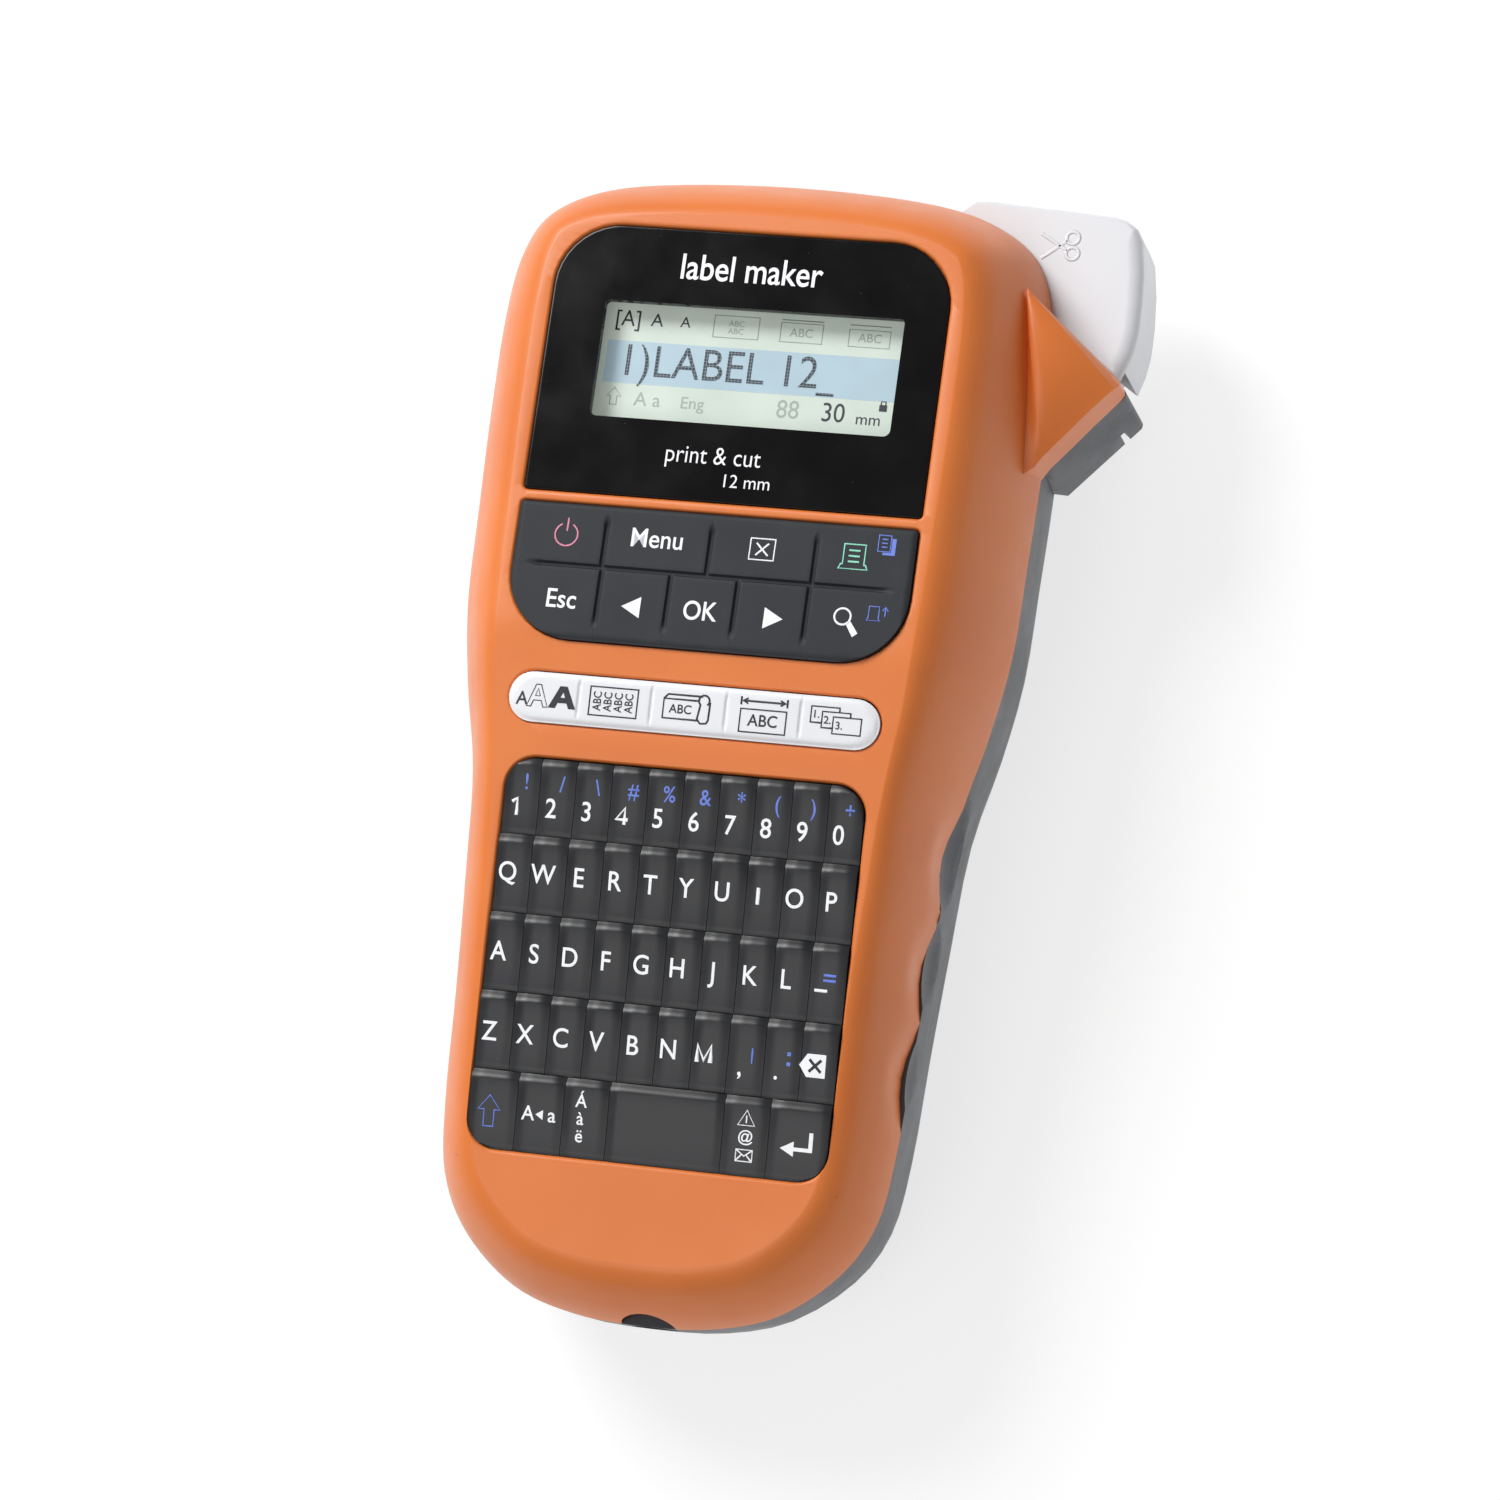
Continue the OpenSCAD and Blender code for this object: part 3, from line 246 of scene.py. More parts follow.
def window_plastic():
    """The clear part of the lens."""
    f = Finish("window_clear", "lens")
    smear = f.noise(10, 3)
    f.set(Base_Color=tint(60, 62, 66), Roughness=f.band(smear, 0.3, 0.7, 0.06, 0.14),
          Alpha=f.band(smear, 0.3, 0.7, 0.04, 0.08), Specular_IOR_Level=0.3)
    f.material.surface_render_method = "BLENDED"
    return f


def display_glass(name, colour, edge, line_pitch=0.0):
    """The display's pale back, with cloudy darker patches, faint cell lines and a painted glow."""
    f = Finish(name, "lcd_glass")
    cloud = f.noise(14, 2)
    share = f.band(cloud, 0.35, 0.65) * 0.5
    if line_pitch:
        split = f.node("ShaderNodeSeparateXYZ", {}, {0: f.place}, "Y")
        share = share + (split.wrapped(line_pitch * MM) > line_pitch * MM * 0.8) * 0.35
    # The emission is a painted glow that makes the display look brighter than its light; the display has no
    # lamp.
    f.set(Base_Color=f.blend(share, colour, edge), Roughness=f.band(cloud, 0.3, 0.7, 0.3, 0.4),
          Normal=f.relief(cloud, 0.003), Emission_Color=colour, Emission_Strength=0.3)
    return f


def dotted_segments(pitch):
    """Dark display dots with the pale gaps between them."""
    f = Finish("display_dots", "lcd_glass")
    across = f.node("ShaderNodeSeparateXYZ", {}, {0: f.place}, "X").wrapped(pitch * MM)
    up = f.node("ShaderNodeSeparateXYZ", {}, {0: f.place}, "Y").wrapped(pitch * MM)
    gap = 1 - (across > pitch * MM * 0.14) * (up > pitch * MM * 0.14)
    cloud = f.noise(2, 2)
    f.set(Base_Color=f.blend(gap * 0.8, tint(44, 50, 66), tint(168, 190, 200)),
          Roughness=f.band(cloud, 0.3, 0.7, 0.35, 0.45), Normal=f.relief(cloud, 0.002))
    return f


def circuit_board():
    """Green board with faint tracks."""
    f = Finish("circuit_board", "board")
    split_x = f.node("ShaderNodeSeparateXYZ", {}, {0: f.place}, "X")
    bend = f.noise(9, 1)
    track = (split_x + bend * 0.006).wrapped(0.0013) > 0.00075
    f.set(Base_Color=f.blend(track * 0.55, tint(24, 84, 50), tint(48, 120, 70)),
          Roughness=f.band(f.noise(3, 3), 0.3, 0.7, 0.3, 0.42), Normal=f.relief(track, 0.03),
          Coat_Weight=0.3)
    return f


def battery_jacket():
    """Printed battery sleeve: a dark half and a pale half."""
    f = Finish("cell_jacket", "cell_jacket")
    y = f.node("ShaderNodeSeparateXYZ", {}, {0: f.place}, "Y")
    rim = f.band(y, at(76) * MM, at(77) * MM)
    worn = f.noise(1.5, 4, 0.65)
    f.set(Base_Color=f.blend(rim, tint(52, 74, 120), tint(186, 180, 168)), Metallic=0.35,
          Roughness=f.band(worn, 0.3, 0.7, 0.26, 0.4), Normal=f.relief(worn, 0.006))
    return f


ORANGE = moulded("orange_plastic", "orange_plastic", tint(236, 131, 62), tint(226, 120, 54),
                 rough=0.40)
GREY = moulded("grey_plastic", "grey_plastic", tint(70, 73, 81), tint(58, 61, 69),
               rough=0.46, grain=0.5, grain_depth=0.02, scuffs=0.8)
LEVER = moulded("lever_plastic", "lever_plastic", tint(238, 239, 243), tint(229, 231, 236),
                rough=0.38, scuffs=0.5)
WHITE_KEYS = moulded("white_keys", "white_keys", tint(246, 247, 250), tint(238, 240, 245), rough=0.4)
LETTER_RUBBER = rubbed("letter_rubber", "letter_rubber", tint(21, 22, 26), tint(124, 124, 126),
                       rough=0.36, gloss=0.5)
FUNCTION_RUBBER = rubbed("function_rubber", "function_rubber", tint(47, 50, 54), tint(126, 127, 130),
                         rough=0.52, dust=0.4, gloss=0.2)
LENS_BLACK = lens_plastic()
WINDOW = window_plastic()
# The white ink carries a painted glow: emission that makes the legends look brighter than their light.
WHITE_INK = printed("white_ink", "white_keys", tint(244, 245, 248), tint(214, 216, 222), painted_glow=0.15)
BLUE_INK = printed("blue_ink", "function_rubber", tint(112, 138, 232), tint(92, 116, 208))
PINK_INK = printed("pink_ink", "function_rubber", tint(226, 142, 168), tint(200, 118, 146))
MINT_INK = printed("mint_ink", "function_rubber", tint(150, 232, 204), tint(122, 206, 180))
BLACK_INK = printed("black_ink", "white_keys", tint(38, 40, 46), tint(60, 62, 68))
LCD_BACK = display_glass("display_back", tint(214, 226, 214), tint(204, 218, 208))
LCD_BAND = display_glass("display_band", tint(182, 207, 218), tint(172, 198, 212), 0.62)
LCD_INK = printed("display_ink", "lcd_glass", tint(48, 54, 66), tint(70, 78, 90))
LCD_FAINT = printed("display_faint", "lcd_glass", tint(190, 203, 196), tint(198, 210, 202))
LCD_DOTS = dotted_segments(0.62)
STEEL = metal("steel", "steel", (0.62, 0.63, 0.65, 1), (0.42, 0.43, 0.45, 1))
SPRING_STEEL = metal("spring_steel", "steel", (0.7, 0.7, 0.71, 1), (0.5, 0.5, 0.5, 1), 0.22)
BLADE_STEEL = metal("blade_steel", "steel", (0.75, 0.76, 0.78, 1), (0.6, 0.6, 0.62, 1), 0.18)
NYLON = moulded("nylon", "nylon", tint(226, 223, 211), tint(214, 210, 196), rough=0.4)
CHIP = moulded("chip_resin", "chip", tint(30, 30, 33), tint(42, 42, 45), rough=0.5)
SOCKET = moulded("socket_plastic", "socket_plastic", tint(26, 26, 28), tint(36, 36, 38), rough=0.36)
SHEET_RUBBER = rubbed("sheet_rubber", "sheet_rubber", tint(34, 34, 36), tint(90, 90, 92))
ROLLER = rubbed("roller_rubber", "roller_rubber", tint(30, 30, 31), tint(84, 84, 84), 0.6)
CASSETTE = moulded("cassette_plastic", "cassette_plastic", tint(58, 58, 62), tint(48, 48, 52),
                   rough=0.3, grain=0.8)
TAPE = moulded("tape_film", "tape_film", tint(240, 240, 234), tint(230, 229, 221), rough=0.24,
               grain=0.6, grain_depth=0.004)
INK_RIBBON = moulded("ink_ribbon", "ink_ribbon", tint(20, 20, 24), tint(36, 36, 42), rough=0.2,
                     grain=0.5, grain_depth=0.004)
RIBBON_FILM = moulded("ribbon_film", "ribbon_film", tint(204, 150, 62), tint(184, 130, 48),
                      rough=0.25)
CERAMIC = moulded("ceramic", "ceramic", tint(226, 218, 200), tint(208, 198, 176), rough=0.3)
BOARD = circuit_board()
CELLS = battery_jacket()


# ---------------------------------------------------------------- making pieces
def pick(*objs):
    bpy.ops.object.select_all(action="DESELECT")
    for obj in objs:
        obj.select_set(True)
    bpy.context.view_layer.objects.active = objs[0]


def edit(obj, steps):
    """Runs edit-mode steps with the whole mesh selected."""
    pick(obj)
    bpy.ops.object.mode_set(mode="EDIT")
    bpy.ops.mesh.select_mode(type="VERT")
    bpy.ops.mesh.select_all(action="SELECT")
    steps()
    bpy.ops.object.mode_set(mode="OBJECT")


def formed(name, across, up, place, frame_at=LEVEL):
    """A closed skin: a grid whose crossings go where place(i, j) says, in mm in a frame."""
    bpy.ops.object.select_all(action="DESELECT")
    bpy.ops.mesh.primitive_grid_add(x_subdivisions=across, y_subdivisions=up, size=2)
    obj = bpy.context.object
    obj.name = obj.data.name = name
    for v in obj.data.vertices:
        i, j = round((v.co.x + 1) / 2 * across), round((v.co.y + 1) / 2 * up)
        v.co = frame_at @ Vector(place(i, j)) * MM

    def close():
        bpy.ops.mesh.remove_doubles(threshold=0.000002)
        bpy.ops.mesh.dissolve_degenerate(threshold=0.000001)
        bpy.ops.mesh.select_all(action="SELECT")
        bpy.ops.mesh.fill_holes(sides=0)
        bpy.ops.mesh.select_all(action="SELECT")
        bpy.ops.mesh.normals_make_consistent(inside=False)
    edit(obj, close)
    turn_out(obj)
    return obj


def turn_out(obj):
    """Makes a closed mesh's faces point outwards."""
    shape = bmesh.new()
    shape.from_mesh(obj.data)
    if shape.calc_volume(signed=True) < 0:
        bmesh.ops.reverse_faces(shape, faces=shape.faces)
        shape.to_mesh(obj.data)
    shape.free()


def loft(name, levels, frame_at=LEVEL):
    """A closed solid through rings of points; each level is (plan points, height)."""
    n = len(levels[0][0])

    def place(i, j):
        plan, z = levels[j]
        x, y = plan[i % n]
        return (x, y, z)
    return formed(name, n, len(levels) - 1, place, frame_at)


def rounded(w, l, low_r, high_r, grow=0.0, steps=9):
    """Plan outline of a plate from y = 0 to y = l, anticlockwise from its lower right corner."""
    points = []
    for side, y, r, turn in ((1, low_r, low_r, -90), (1, l - high_r, high_r, 0),
                             (-1, l - high_r, high_r, 90), (-1, low_r, low_r, 180)):
        for k in range(steps + 1):
            a = radians(turn + 90 * k / steps)
            points.append((side * (w / 2 - r) + (r + grow) * cos(a), y + (r + grow) * sin(a)))
    return points


def carve(obj, tool, how="DIFFERENCE"):
    pick(obj)
    cut = obj.modifiers.new("cut", "BOOLEAN")
    cut.operation, cut.object, cut.solver = how, tool, "MANIFOLD"
    bpy.ops.object.modifier_apply(modifier=cut.name)
    bpy.data.objects.remove(tool)


def polish(obj, angle):
    """Shades flats flat and bends of less than that angle smooth."""
    pick(obj)
    bpy.ops.object.shade_smooth_by_angle(angle=radians(angle))
    even = obj.modifiers.new("even", "WEIGHTED_NORMAL")
    even.keep_sharp = True
    bpy.ops.object.modifier_apply(modifier=even.name)
    return obj


def finished(obj, finish, body, *replaced):
    obj.data.materials.clear()
    obj.data.materials.append(finish.material)
    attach(obj, body)
    if replaced:
        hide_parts(*replaced)
    return obj


def merged_copy(node, name):
    """A CAD node's mesh as a new piece, with its loose triangles joined."""
    obj = bpy.data.objects.new(name, nodes[node].data.copy())
    bpy.context.scene.collection.objects.link(obj)
    edit(obj, lambda: bpy.ops.mesh.remove_doubles(threshold=0.000001))
    return obj


# ---------------------------------------------------------------- the casing's skin
HALF, GRIP = CASE_W / 2, GRIP_W / 2


def mix(a, b, t):
    return a + (b - a) * t


def smooth(a, b, v):
    t = min(1.0, max(0.0, (v - a) / (b - a)))
    return t * t * (3 - 2 * t)


MARKS = [
    (0, 0.6), (GRIP * 0.3, 1.4), (GRIP * 0.58, 5), (GRIP * 0.82, 13.2), (GRIP * 0.95, 23),
    (GRIP - 0.3, 36), (GRIP + 0.5, 55), (GRIP + 1.6, 75),
    (mix(GRIP, HALF, 0.3), 93.8), (mix(GRIP, HALF, 0.66), 109.8), (mix(GRIP, HALF, 0.9), 124.8),
    (HALF - 0.4, CASE_L - 65), (HALF, CASE_L - 48), (HALF - 0.1, CASE_L - 29),
    (HALF * 0.965, CASE_L - 17), (HALF * 0.875, CASE_L - 8.8),
    (HALF * 0.69, CASE_L - 3.4), (HALF * 0.42, CASE_L - 0.9), (0, CASE_L)]


def through(marks, t):
    """A smooth curve through marks that mirrors at both ends in x."""
    last = len(marks) - 1
    i = min(int(t), last - 1)
    t -= i

    def mark(k):
        if k < 0:
            return Vector((-marks[-k][0], marks[-k][1]))
        if k > last:
            return Vector((-marks[2 * last - k][0], marks[2 * last - k][1]))
        return Vector(marks[k])
    a, b, c, d = (mark(i + k) for k in (-1, 0, 1, 2))
    return 0.5 * (2 * b + (c - a) * t + (2 * a - 5 * b + 4 * c - d) * t * t
                  + (3 * b - a - 3 * c + d) * t * t * t)


def profile(marks, t):
    """A smooth curve through (share, inset) marks."""
    last = len(marks) - 1
    i = min(int(t), last - 1)
    t -= i
    a, b, c, d = (Vector(marks[max(0, min(last, i + k))]) for k in (-1, 0, 1, 2))
    return 0.5 * (2 * b + (c - a) * t + (2 * a - 5 * b + 4 * c - d) * t * t
                  + (3 * b - a - 3 * c + d) * t * t * t)


AROUND = 108
# The side slopes less at the grip than at the display
GRIP_LEAN = 0.74
FRONT = [(0, 0), (0.12, 0.45), (0.28, 1.3), (0.45, 2.6), (0.6, 4.1), (0.74, 5.8),
         (0.85, 7.5), (0.93, 9.3), (0.98, 11), (1, 12.4)]
FINGERS = (87, 67.6, 48.2)


def rim_point(i, inset):
    """Plan place of the skin at step i round the outline, moved in by inset."""
    n = AROUND
    k = i % (2 * n)
    left = k > n
    t = (2 * n - k if left else k) / n * (len(MARKS) - 1)
    p = through(MARKS, t)
    e = 0.02
    d = through(MARKS, min(t + e, len(MARKS) - 1 - 1e-6)) - through(MARKS, max(t - e, 0))
    out = Vector((d.y, -d.x)).normalized()
    if k in (0, n):
        out = Vector((0, -1 if k == 0 else 1))
    lean = mix(GRIP_LEAN, 1, smooth(89.8, 127.5, p.y))
    q = p - out * inset * lean
    x = max(q.x, 0)
    return (-x if left else x), q.y


def dented(x, s, z):
    """The finger hollows on the right side, as soft dents."""
    if x < 30:
        return x
    for spot in FINGERS:
        d = ((s - spot) ** 2 + (z - PARTING) ** 2) / 9.4 ** 2
        if d < 1:
            x -= 1.55 * (1 - d) ** 1.5
    return x


OUT_STEPS, CAP_STEPS = 24, 8


def front_skin(i, j):
    """Inner roof, inner wall, outer wall, outer roof, as one run of rings."""
    inner = j <= CAP_STEPS + 9
    if inner:
        k = CAP_STEPS + 9 - j
        t, cap = min(k, 9), max(0, k - 9) / CAP_STEPS
    else:
        k = j - CAP_STEPS - 10
        t, cap = min(k, OUT_STEPS) / OUT_STEPS * 9, max(0, k - OUT_STEPS) / CAP_STEPS
    share, inset = profile(FRONT, t)
    x, s = rim_point(i, inset + (WALL / 0.9 if inner else 0))
    z = PARTING + share * (face_z(s) - PARTING) - (WALL * share if inner else 0)
    x *= 1 - cap
    return (dented(x, s, z) if not inner else x, at(s), z)


front = formed("front_shell", 2 * AROUND, 2 * CAP_STEPS + 10 + OUT_STEPS, front_skin)

# The tape guide's ear: a curved facet fanning from a peak at the display to the guide's edge
GUIDE_REACH, GUIDE_BACK, GUIDE_TURN = 13.4, 32.9, radians(141.5)
TIP = Vector((HALF + GUIDE_REACH, at(CASE_L - GUIDE_BACK)))
GUIDE = Matrix.Translation((TIP.x, TIP.y, 0)) @ Matrix.Rotation(GUIDE_TURN, 4, "Z")


def guide(x, y):
    return (GUIDE @ Vector((x, y, 0))).xy


PEAK = guide(22.6, 0)
EAR_EDGE = [guide(1.3, 0), guide(0.45, 0.15), TIP + Vector((-0.35, -0.6)), TIP + Vector((-1.0, -1.6)),
            TIP + Vector((-4.9, -6.2)), TIP + Vector((-8.6, -10.8)), TIP + Vector((-12.0, -14.9)),
            TIP + Vector((-13.3, -17.0)), TIP + Vector((-16.5, -19.5))]
EAR_TOP, EAR_RISE, EAR_PEAK, EAR_SWELL = 39.6, 2.6, 47.4, 2.9


EAR_AROUND, EAR_OUT = 48, 18


def ear_skin(i, j):
    f = i / EAR_AROUND
    t = f * (len(EAR_EDGE) - 1)
    k = min(int(t), len(EAR_EDGE) - 2)
    edge = EAR_EDGE[k].lerp(EAR_EDGE[k + 1], t - k)
    if j <= EAR_OUT:
        u = j / EAR_OUT
        over = smooth(0, 0.62, f) * (1 - smooth(0.66, 1.0, f))
        swell = EAR_SWELL * sin(pi * min(1, u * 1.02)) ** 0.8 * over
        p = PEAK.lerp(edge, u)
        rim = EAR_TOP + EAR_RISE * smooth(0.08, 0.5, f)
        return (p.x, p.y, mix(EAR_PEAK, rim, u ** 0.9) + swell)
    if j == EAR_OUT + 1:
        return (edge.x, edge.y, PARTING)
    return (PEAK.x, PEAK.y, PARTING)


ear = formed("ear", EAR_AROUND, EAR_OUT + 2, ear_skin)
carve(front, ear, "UNION")

# Openings, each with a softly rounded lip
LIP = ((0.62, 3.0), (0.62, 0.02), (0.42, -0.05), (0.22, -0.2), (0.06, -0.46), (0.0, -0.85))


def opening(w, l, low_r, high_r, deep, frame_at, lip=1.0):
    levels = [(rounded(w, l, low_r, high_r, grow * lip), z if z > 0 else z * lip)
              for grow, z in LIP]
    levels.append((rounded(w, l, low_r, high_r), -deep))
    return loft("opening", levels, frame_at)


carve(front, opening(LETTER_W, LETTER_L / cos(TILT), 5.5, 5.5, 9, LETTERS))
carve(front, opening(STRIP_W, STRIP_L, 4.54, 4.54, 9, STRIP, 0.8))
carve(front, opening(FUNC_W, FUNC_L, 12, 0.8, 9, FUNCTIONS))
carve(front, opening(LENS_W + 0.1, LENS_L + 0.1, 0.8, 11.5, 1.65, LENS, 1.0))
carve(front, opening(LENS_W - 5, LENS_L - 5, 0.6, 9, 9,
                     LENS @ Matrix.Translation((0, 2.5, -1.2)), 0.1))

# Bay of the cutter lever, and the power socket's notch at the hand end
JACK_X, JACK_R = 1.3, 4.9
FAR, LEVER_TOP, TIP_WALL, ANVIL_Y = 45, 36, 1.3, 5
BAY = [(-FAR, -1), (TIP_WALL, -1), (TIP_WALL, ANVIL_Y), (24, ANVIL_Y), (24, 0.6), (39.5, 0.6),
       (39.5, 5.4), (48, 5.4), (48, -FAR), (-FAR, -FAR)]
carve(front, loft("bay", [(BAY, PARTING - 4), (BAY, LEVER_TOP + 0.25)], GUIDE))
NOTCH = [(JACK_X + JACK_R * cos(radians(a)), PARTING + JACK_R * sin(radians(a))) for a in range(0, 360, 12)]
carve(front, formed("notch", len(NOTCH), 1, lambda i, j: (
    NOTCH[i % len(NOTCH)][0], at(-1 + 8 * j), NOTCH[i % len(NOTCH)][1])))
finished(polish(front, 32), ORANGE, "casing", "front_case")

# Rear shell and cover keep the CAD's shape, with smooth walls
rear = merged_copy("rear_case", "rear_shell")
finished(polish(rear, 30), GREY, "casing", "rear_case")
cover = merged_copy("back_cover", "battery_cover")
finished(polish(cover, 30), GREY, "back_cover", "back_cover")


# ---------------------------------------------------------------- keys
def held(x, y, w, l, low_r, high_r):
    """The nearest place inside a rounded block that runs from y = 0 to y = l."""
    x = max(-w / 2, min(w / 2, x))
    y = max(0, min(l, y))
    for r, cy, below in ((low_r, low_r, True), (high_r, l - high_r, False)):
        if (y < cy) == below and abs(x) > w / 2 - r:
            cx = (w / 2 - r) * (1 if x > 0 else -1)
            d = hypot(x - cx, y - cy)
            if d > r:
                return cx + (x - cx) * r / d, cy + (y - cy) * r / d
    return x, y


def spread(a, b, close, count):
    """Places from a to b, close together at both ends."""
    inner = [a + close[-1] + (b - a - 2 * close[-1]) * k / count for k in range(1, count)]
    return [a + c for c in close] + inner + [b - c for c in reversed(close)]


def key(name, x1, x2, y1, y2, block, height, frame_at, near=(0, 0.18, 0.45, 0.9), mid=6):
    """A key over one cell of a block: its top follows height(x, y) and its sides drop."""
    xs, ys = spread(x1, x2, near, mid), spread(y1, y2, near, mid)
    nx, ny = len(xs) + 1, len(ys) + 1

    def place(i, j):
        x, y = xs[max(0, min(nx - 2, i - 1))], ys[max(0, min(ny - 2, j - 1))]
        px, py = held(x, y, *block)
        skirt = i in (0, nx) or j in (0, ny)
        return (px, py, -KEY_UNDER if skirt else height(x, y))
    return formed(name, nx, ny, place, frame_at)


def joined(name, parts):
    pick(*parts)
    if len(parts) > 1:
        bpy.ops.object.join()
    obj = bpy.context.object
    obj.name = obj.data.name = name
    return obj


LETTER_BLOCK = (LETTER_W - 0.3, LETTER_L / cos(TILT) - 0.3, 5.35, 5.35)
BOTTOM = (0, 1.36, 2.66, 3.9, 7.08, 8.34, 10)


def col_x(i):
    return (i - 5) * COL


def letter_top(x, y, x1, x2, row):
    """A pillow that rises from its lower edge to a soft crest along its upper edge."""
    v = min(1, max(0, (y - row * ROW_Y) / ROW_Y))
    side = smooth(-0.9, 2.1, min(x - x1, x2 - x))
    rise = 0.25 * v + 0.75 * smooth(0.1, 0.95, v)
    crest = smooth(0.84, 1.03, v) ** 1.6
    foot = 1 - smooth(-0.03, 0.07, v)
    return KEY_RISE - 1.1 * (1 - rise) - 0.85 * crest - 0.5 * (1 - side) * (0.5 + 0.5 * v) - 0.25 * foot


def letter_row(name, row, edges):
    parts = []
    for a, b in zip(edges, edges[1:]):
        x1, x2 = col_x(a) + 0.05, col_x(b) - 0.05
        parts.append(key("cell", x1, x2, row * ROW_Y + 0.06, (row + 1) * ROW_Y - 0.06, LETTER_BLOCK,
                         lambda x, y: letter_top(x, y, x1, x2, row), LETTERS,
                         near=(0, 0.25, 0.5, 0.8, 1.2, 1.7), mid=7))
    return joined(name, parts)


def letter_height(row, edges):
    def height(x, y):
        for a, b in zip(edges, edges[1:]):
            if x <= col_x(b):
                break
        return letter_top(x, y, col_x(a), col_x(b), row)
    return height


TENS = tuple(range(11))
for name, row in (("row_lower", 1), ("row_middle", 2), ("row_upper", 3), ("row_digits", 4)):
    finished(polish(letter_row(name + "_keys", row, TENS), 50), LETTER_RUBBER, name, name)
BOTTOM_KEYS = ("key_shift", "key_caps", "key_accent", "key_space", "key_symbol", "key_enter")
for k, name in enumerate(BOTTOM_KEYS):
    piece = letter_row(name + "_cap", 0, BOTTOM[k:k + 2])
    finished(polish(piece, 50), LETTER_RUBBER, name, name)

# Function keys: flat, with a groove between neighbours that stops short of the block's edge
FUNC_BLOCK = (FUNC_W - 0.3, FUNC_L - 0.3, 11.85, 0.5)
TOP_EDGES = [e * FUNC_W for e in (-0.5, -0.272, -0.008, 0.255, 0.5)]
LOW_EDGES = [e * FUNC_W for e in (-0.5, -0.269, -0.095, 0.074, 0.252, 0.5)]


def groove(across, along_it, start, end, half=0.42, deep=0.62):
    """Depth of a round-ended groove at a distance across it and a place along it."""
    out = max(start - along_it, along_it - end, 0)
    d = hypot(across, out)
    return deep * (1 - smooth(half * 0.45, half * 1.35, d))


def function_top(x, y):
    edges = TOP_EDGES if y > FUNC_SPLIT else LOW_EDGES
    cut = groove(y - FUNC_SPLIT, x, -FUNC_W * 0.437, FUNC_W * 0.437)
    for e in edges[1:-1]:
        if y > FUNC_SPLIT:
            cut = max(cut, groove(x - e, y, FUNC_SPLIT, FUNC_L - 3.2))
        else:
            cut = max(cut, groove(x - e, y, 3.6, FUNC_SPLIT))
    rim = min(x + FUNC_W / 2, FUNC_W / 2 - x, y, FUNC_L - y)
    return KEY_RISE * 0.88 - cut - 0.35 * (1 - smooth(0.05, 0.9, rim))


NEAR = (0, 0.16, 0.32, 0.5, 0.75, 1.2)
TOP_KEYS = ("key_power", "key_menu", "key_clear", "key_print")
LOW_KEYS = ("key_escape", "key_left", "key_ok", "key_right", "key_find")
for names, edges, y1, y2 in ((TOP_KEYS, TOP_EDGES, FUNC_SPLIT, FUNC_L),
                             (LOW_KEYS, LOW_EDGES, 0, FUNC_SPLIT)):
    for k, name in enumerate(names):
        piece = key(name + "_cap", edges[k] + 0.01, edges[k + 1] - 0.01, y1 + 0.01, y2 - 0.01,
                    FUNC_BLOCK, function_top, FUNCTIONS, NEAR, 12)
        finished(polish(piece, 50), FUNCTION_RUBBER, name, name)

# Shortcut keys: a white strip with a short shallow groove between neighbours
STRIP_BLOCK = (STRIP_W - 0.3, STRIP_L - 0.3, 4.39, 4.39)
STRIP_EDGES = [e * STRIP_W for e in (-0.5, -0.307, -0.111, 0.09, 0.289, 0.5)]


def strip_top(x, y):
    cut = 0
    for e in STRIP_EDGES[1:-1]:
        cut = max(cut, groove(x - e, y, 1.9, STRIP_L - 1.6, 0.3, 0.3))
    px, py = held(x, y, *STRIP_BLOCK)
    cx = max(-STRIP_W / 2 + 4.55, min(STRIP_W / 2 - 4.55, px))
    rim = 4.4 - hypot(px - cx, py - STRIP_L / 2) if abs(px - cx) > 0 else min(py, STRIP_L - py)
    return KEY_RISE * 0.95 - cut - 0.5 * (1 - smooth(0, 1.1, max(0, rim)))


STRIP_KEYS = ("key_font", "key_text_grid", "key_flag", "key_length", "key_number")
for k, name in enumerate(STRIP_KEYS):
    piece = key(name + "_cap", STRIP_EDGES[k] + 0.01, STRIP_EDGES[k + 1] - 0.01, 0, STRIP_L,
                STRIP_BLOCK, strip_top, STRIP, NEAR, 12)
    finished(polish(piece, 50), WHITE_KEYS, name, name)


# ---------------------------------------------------------------- legends
# Height of the ink above its surface, and the longest edge in it
INK, INK_EDGE = 0.05, 0.8


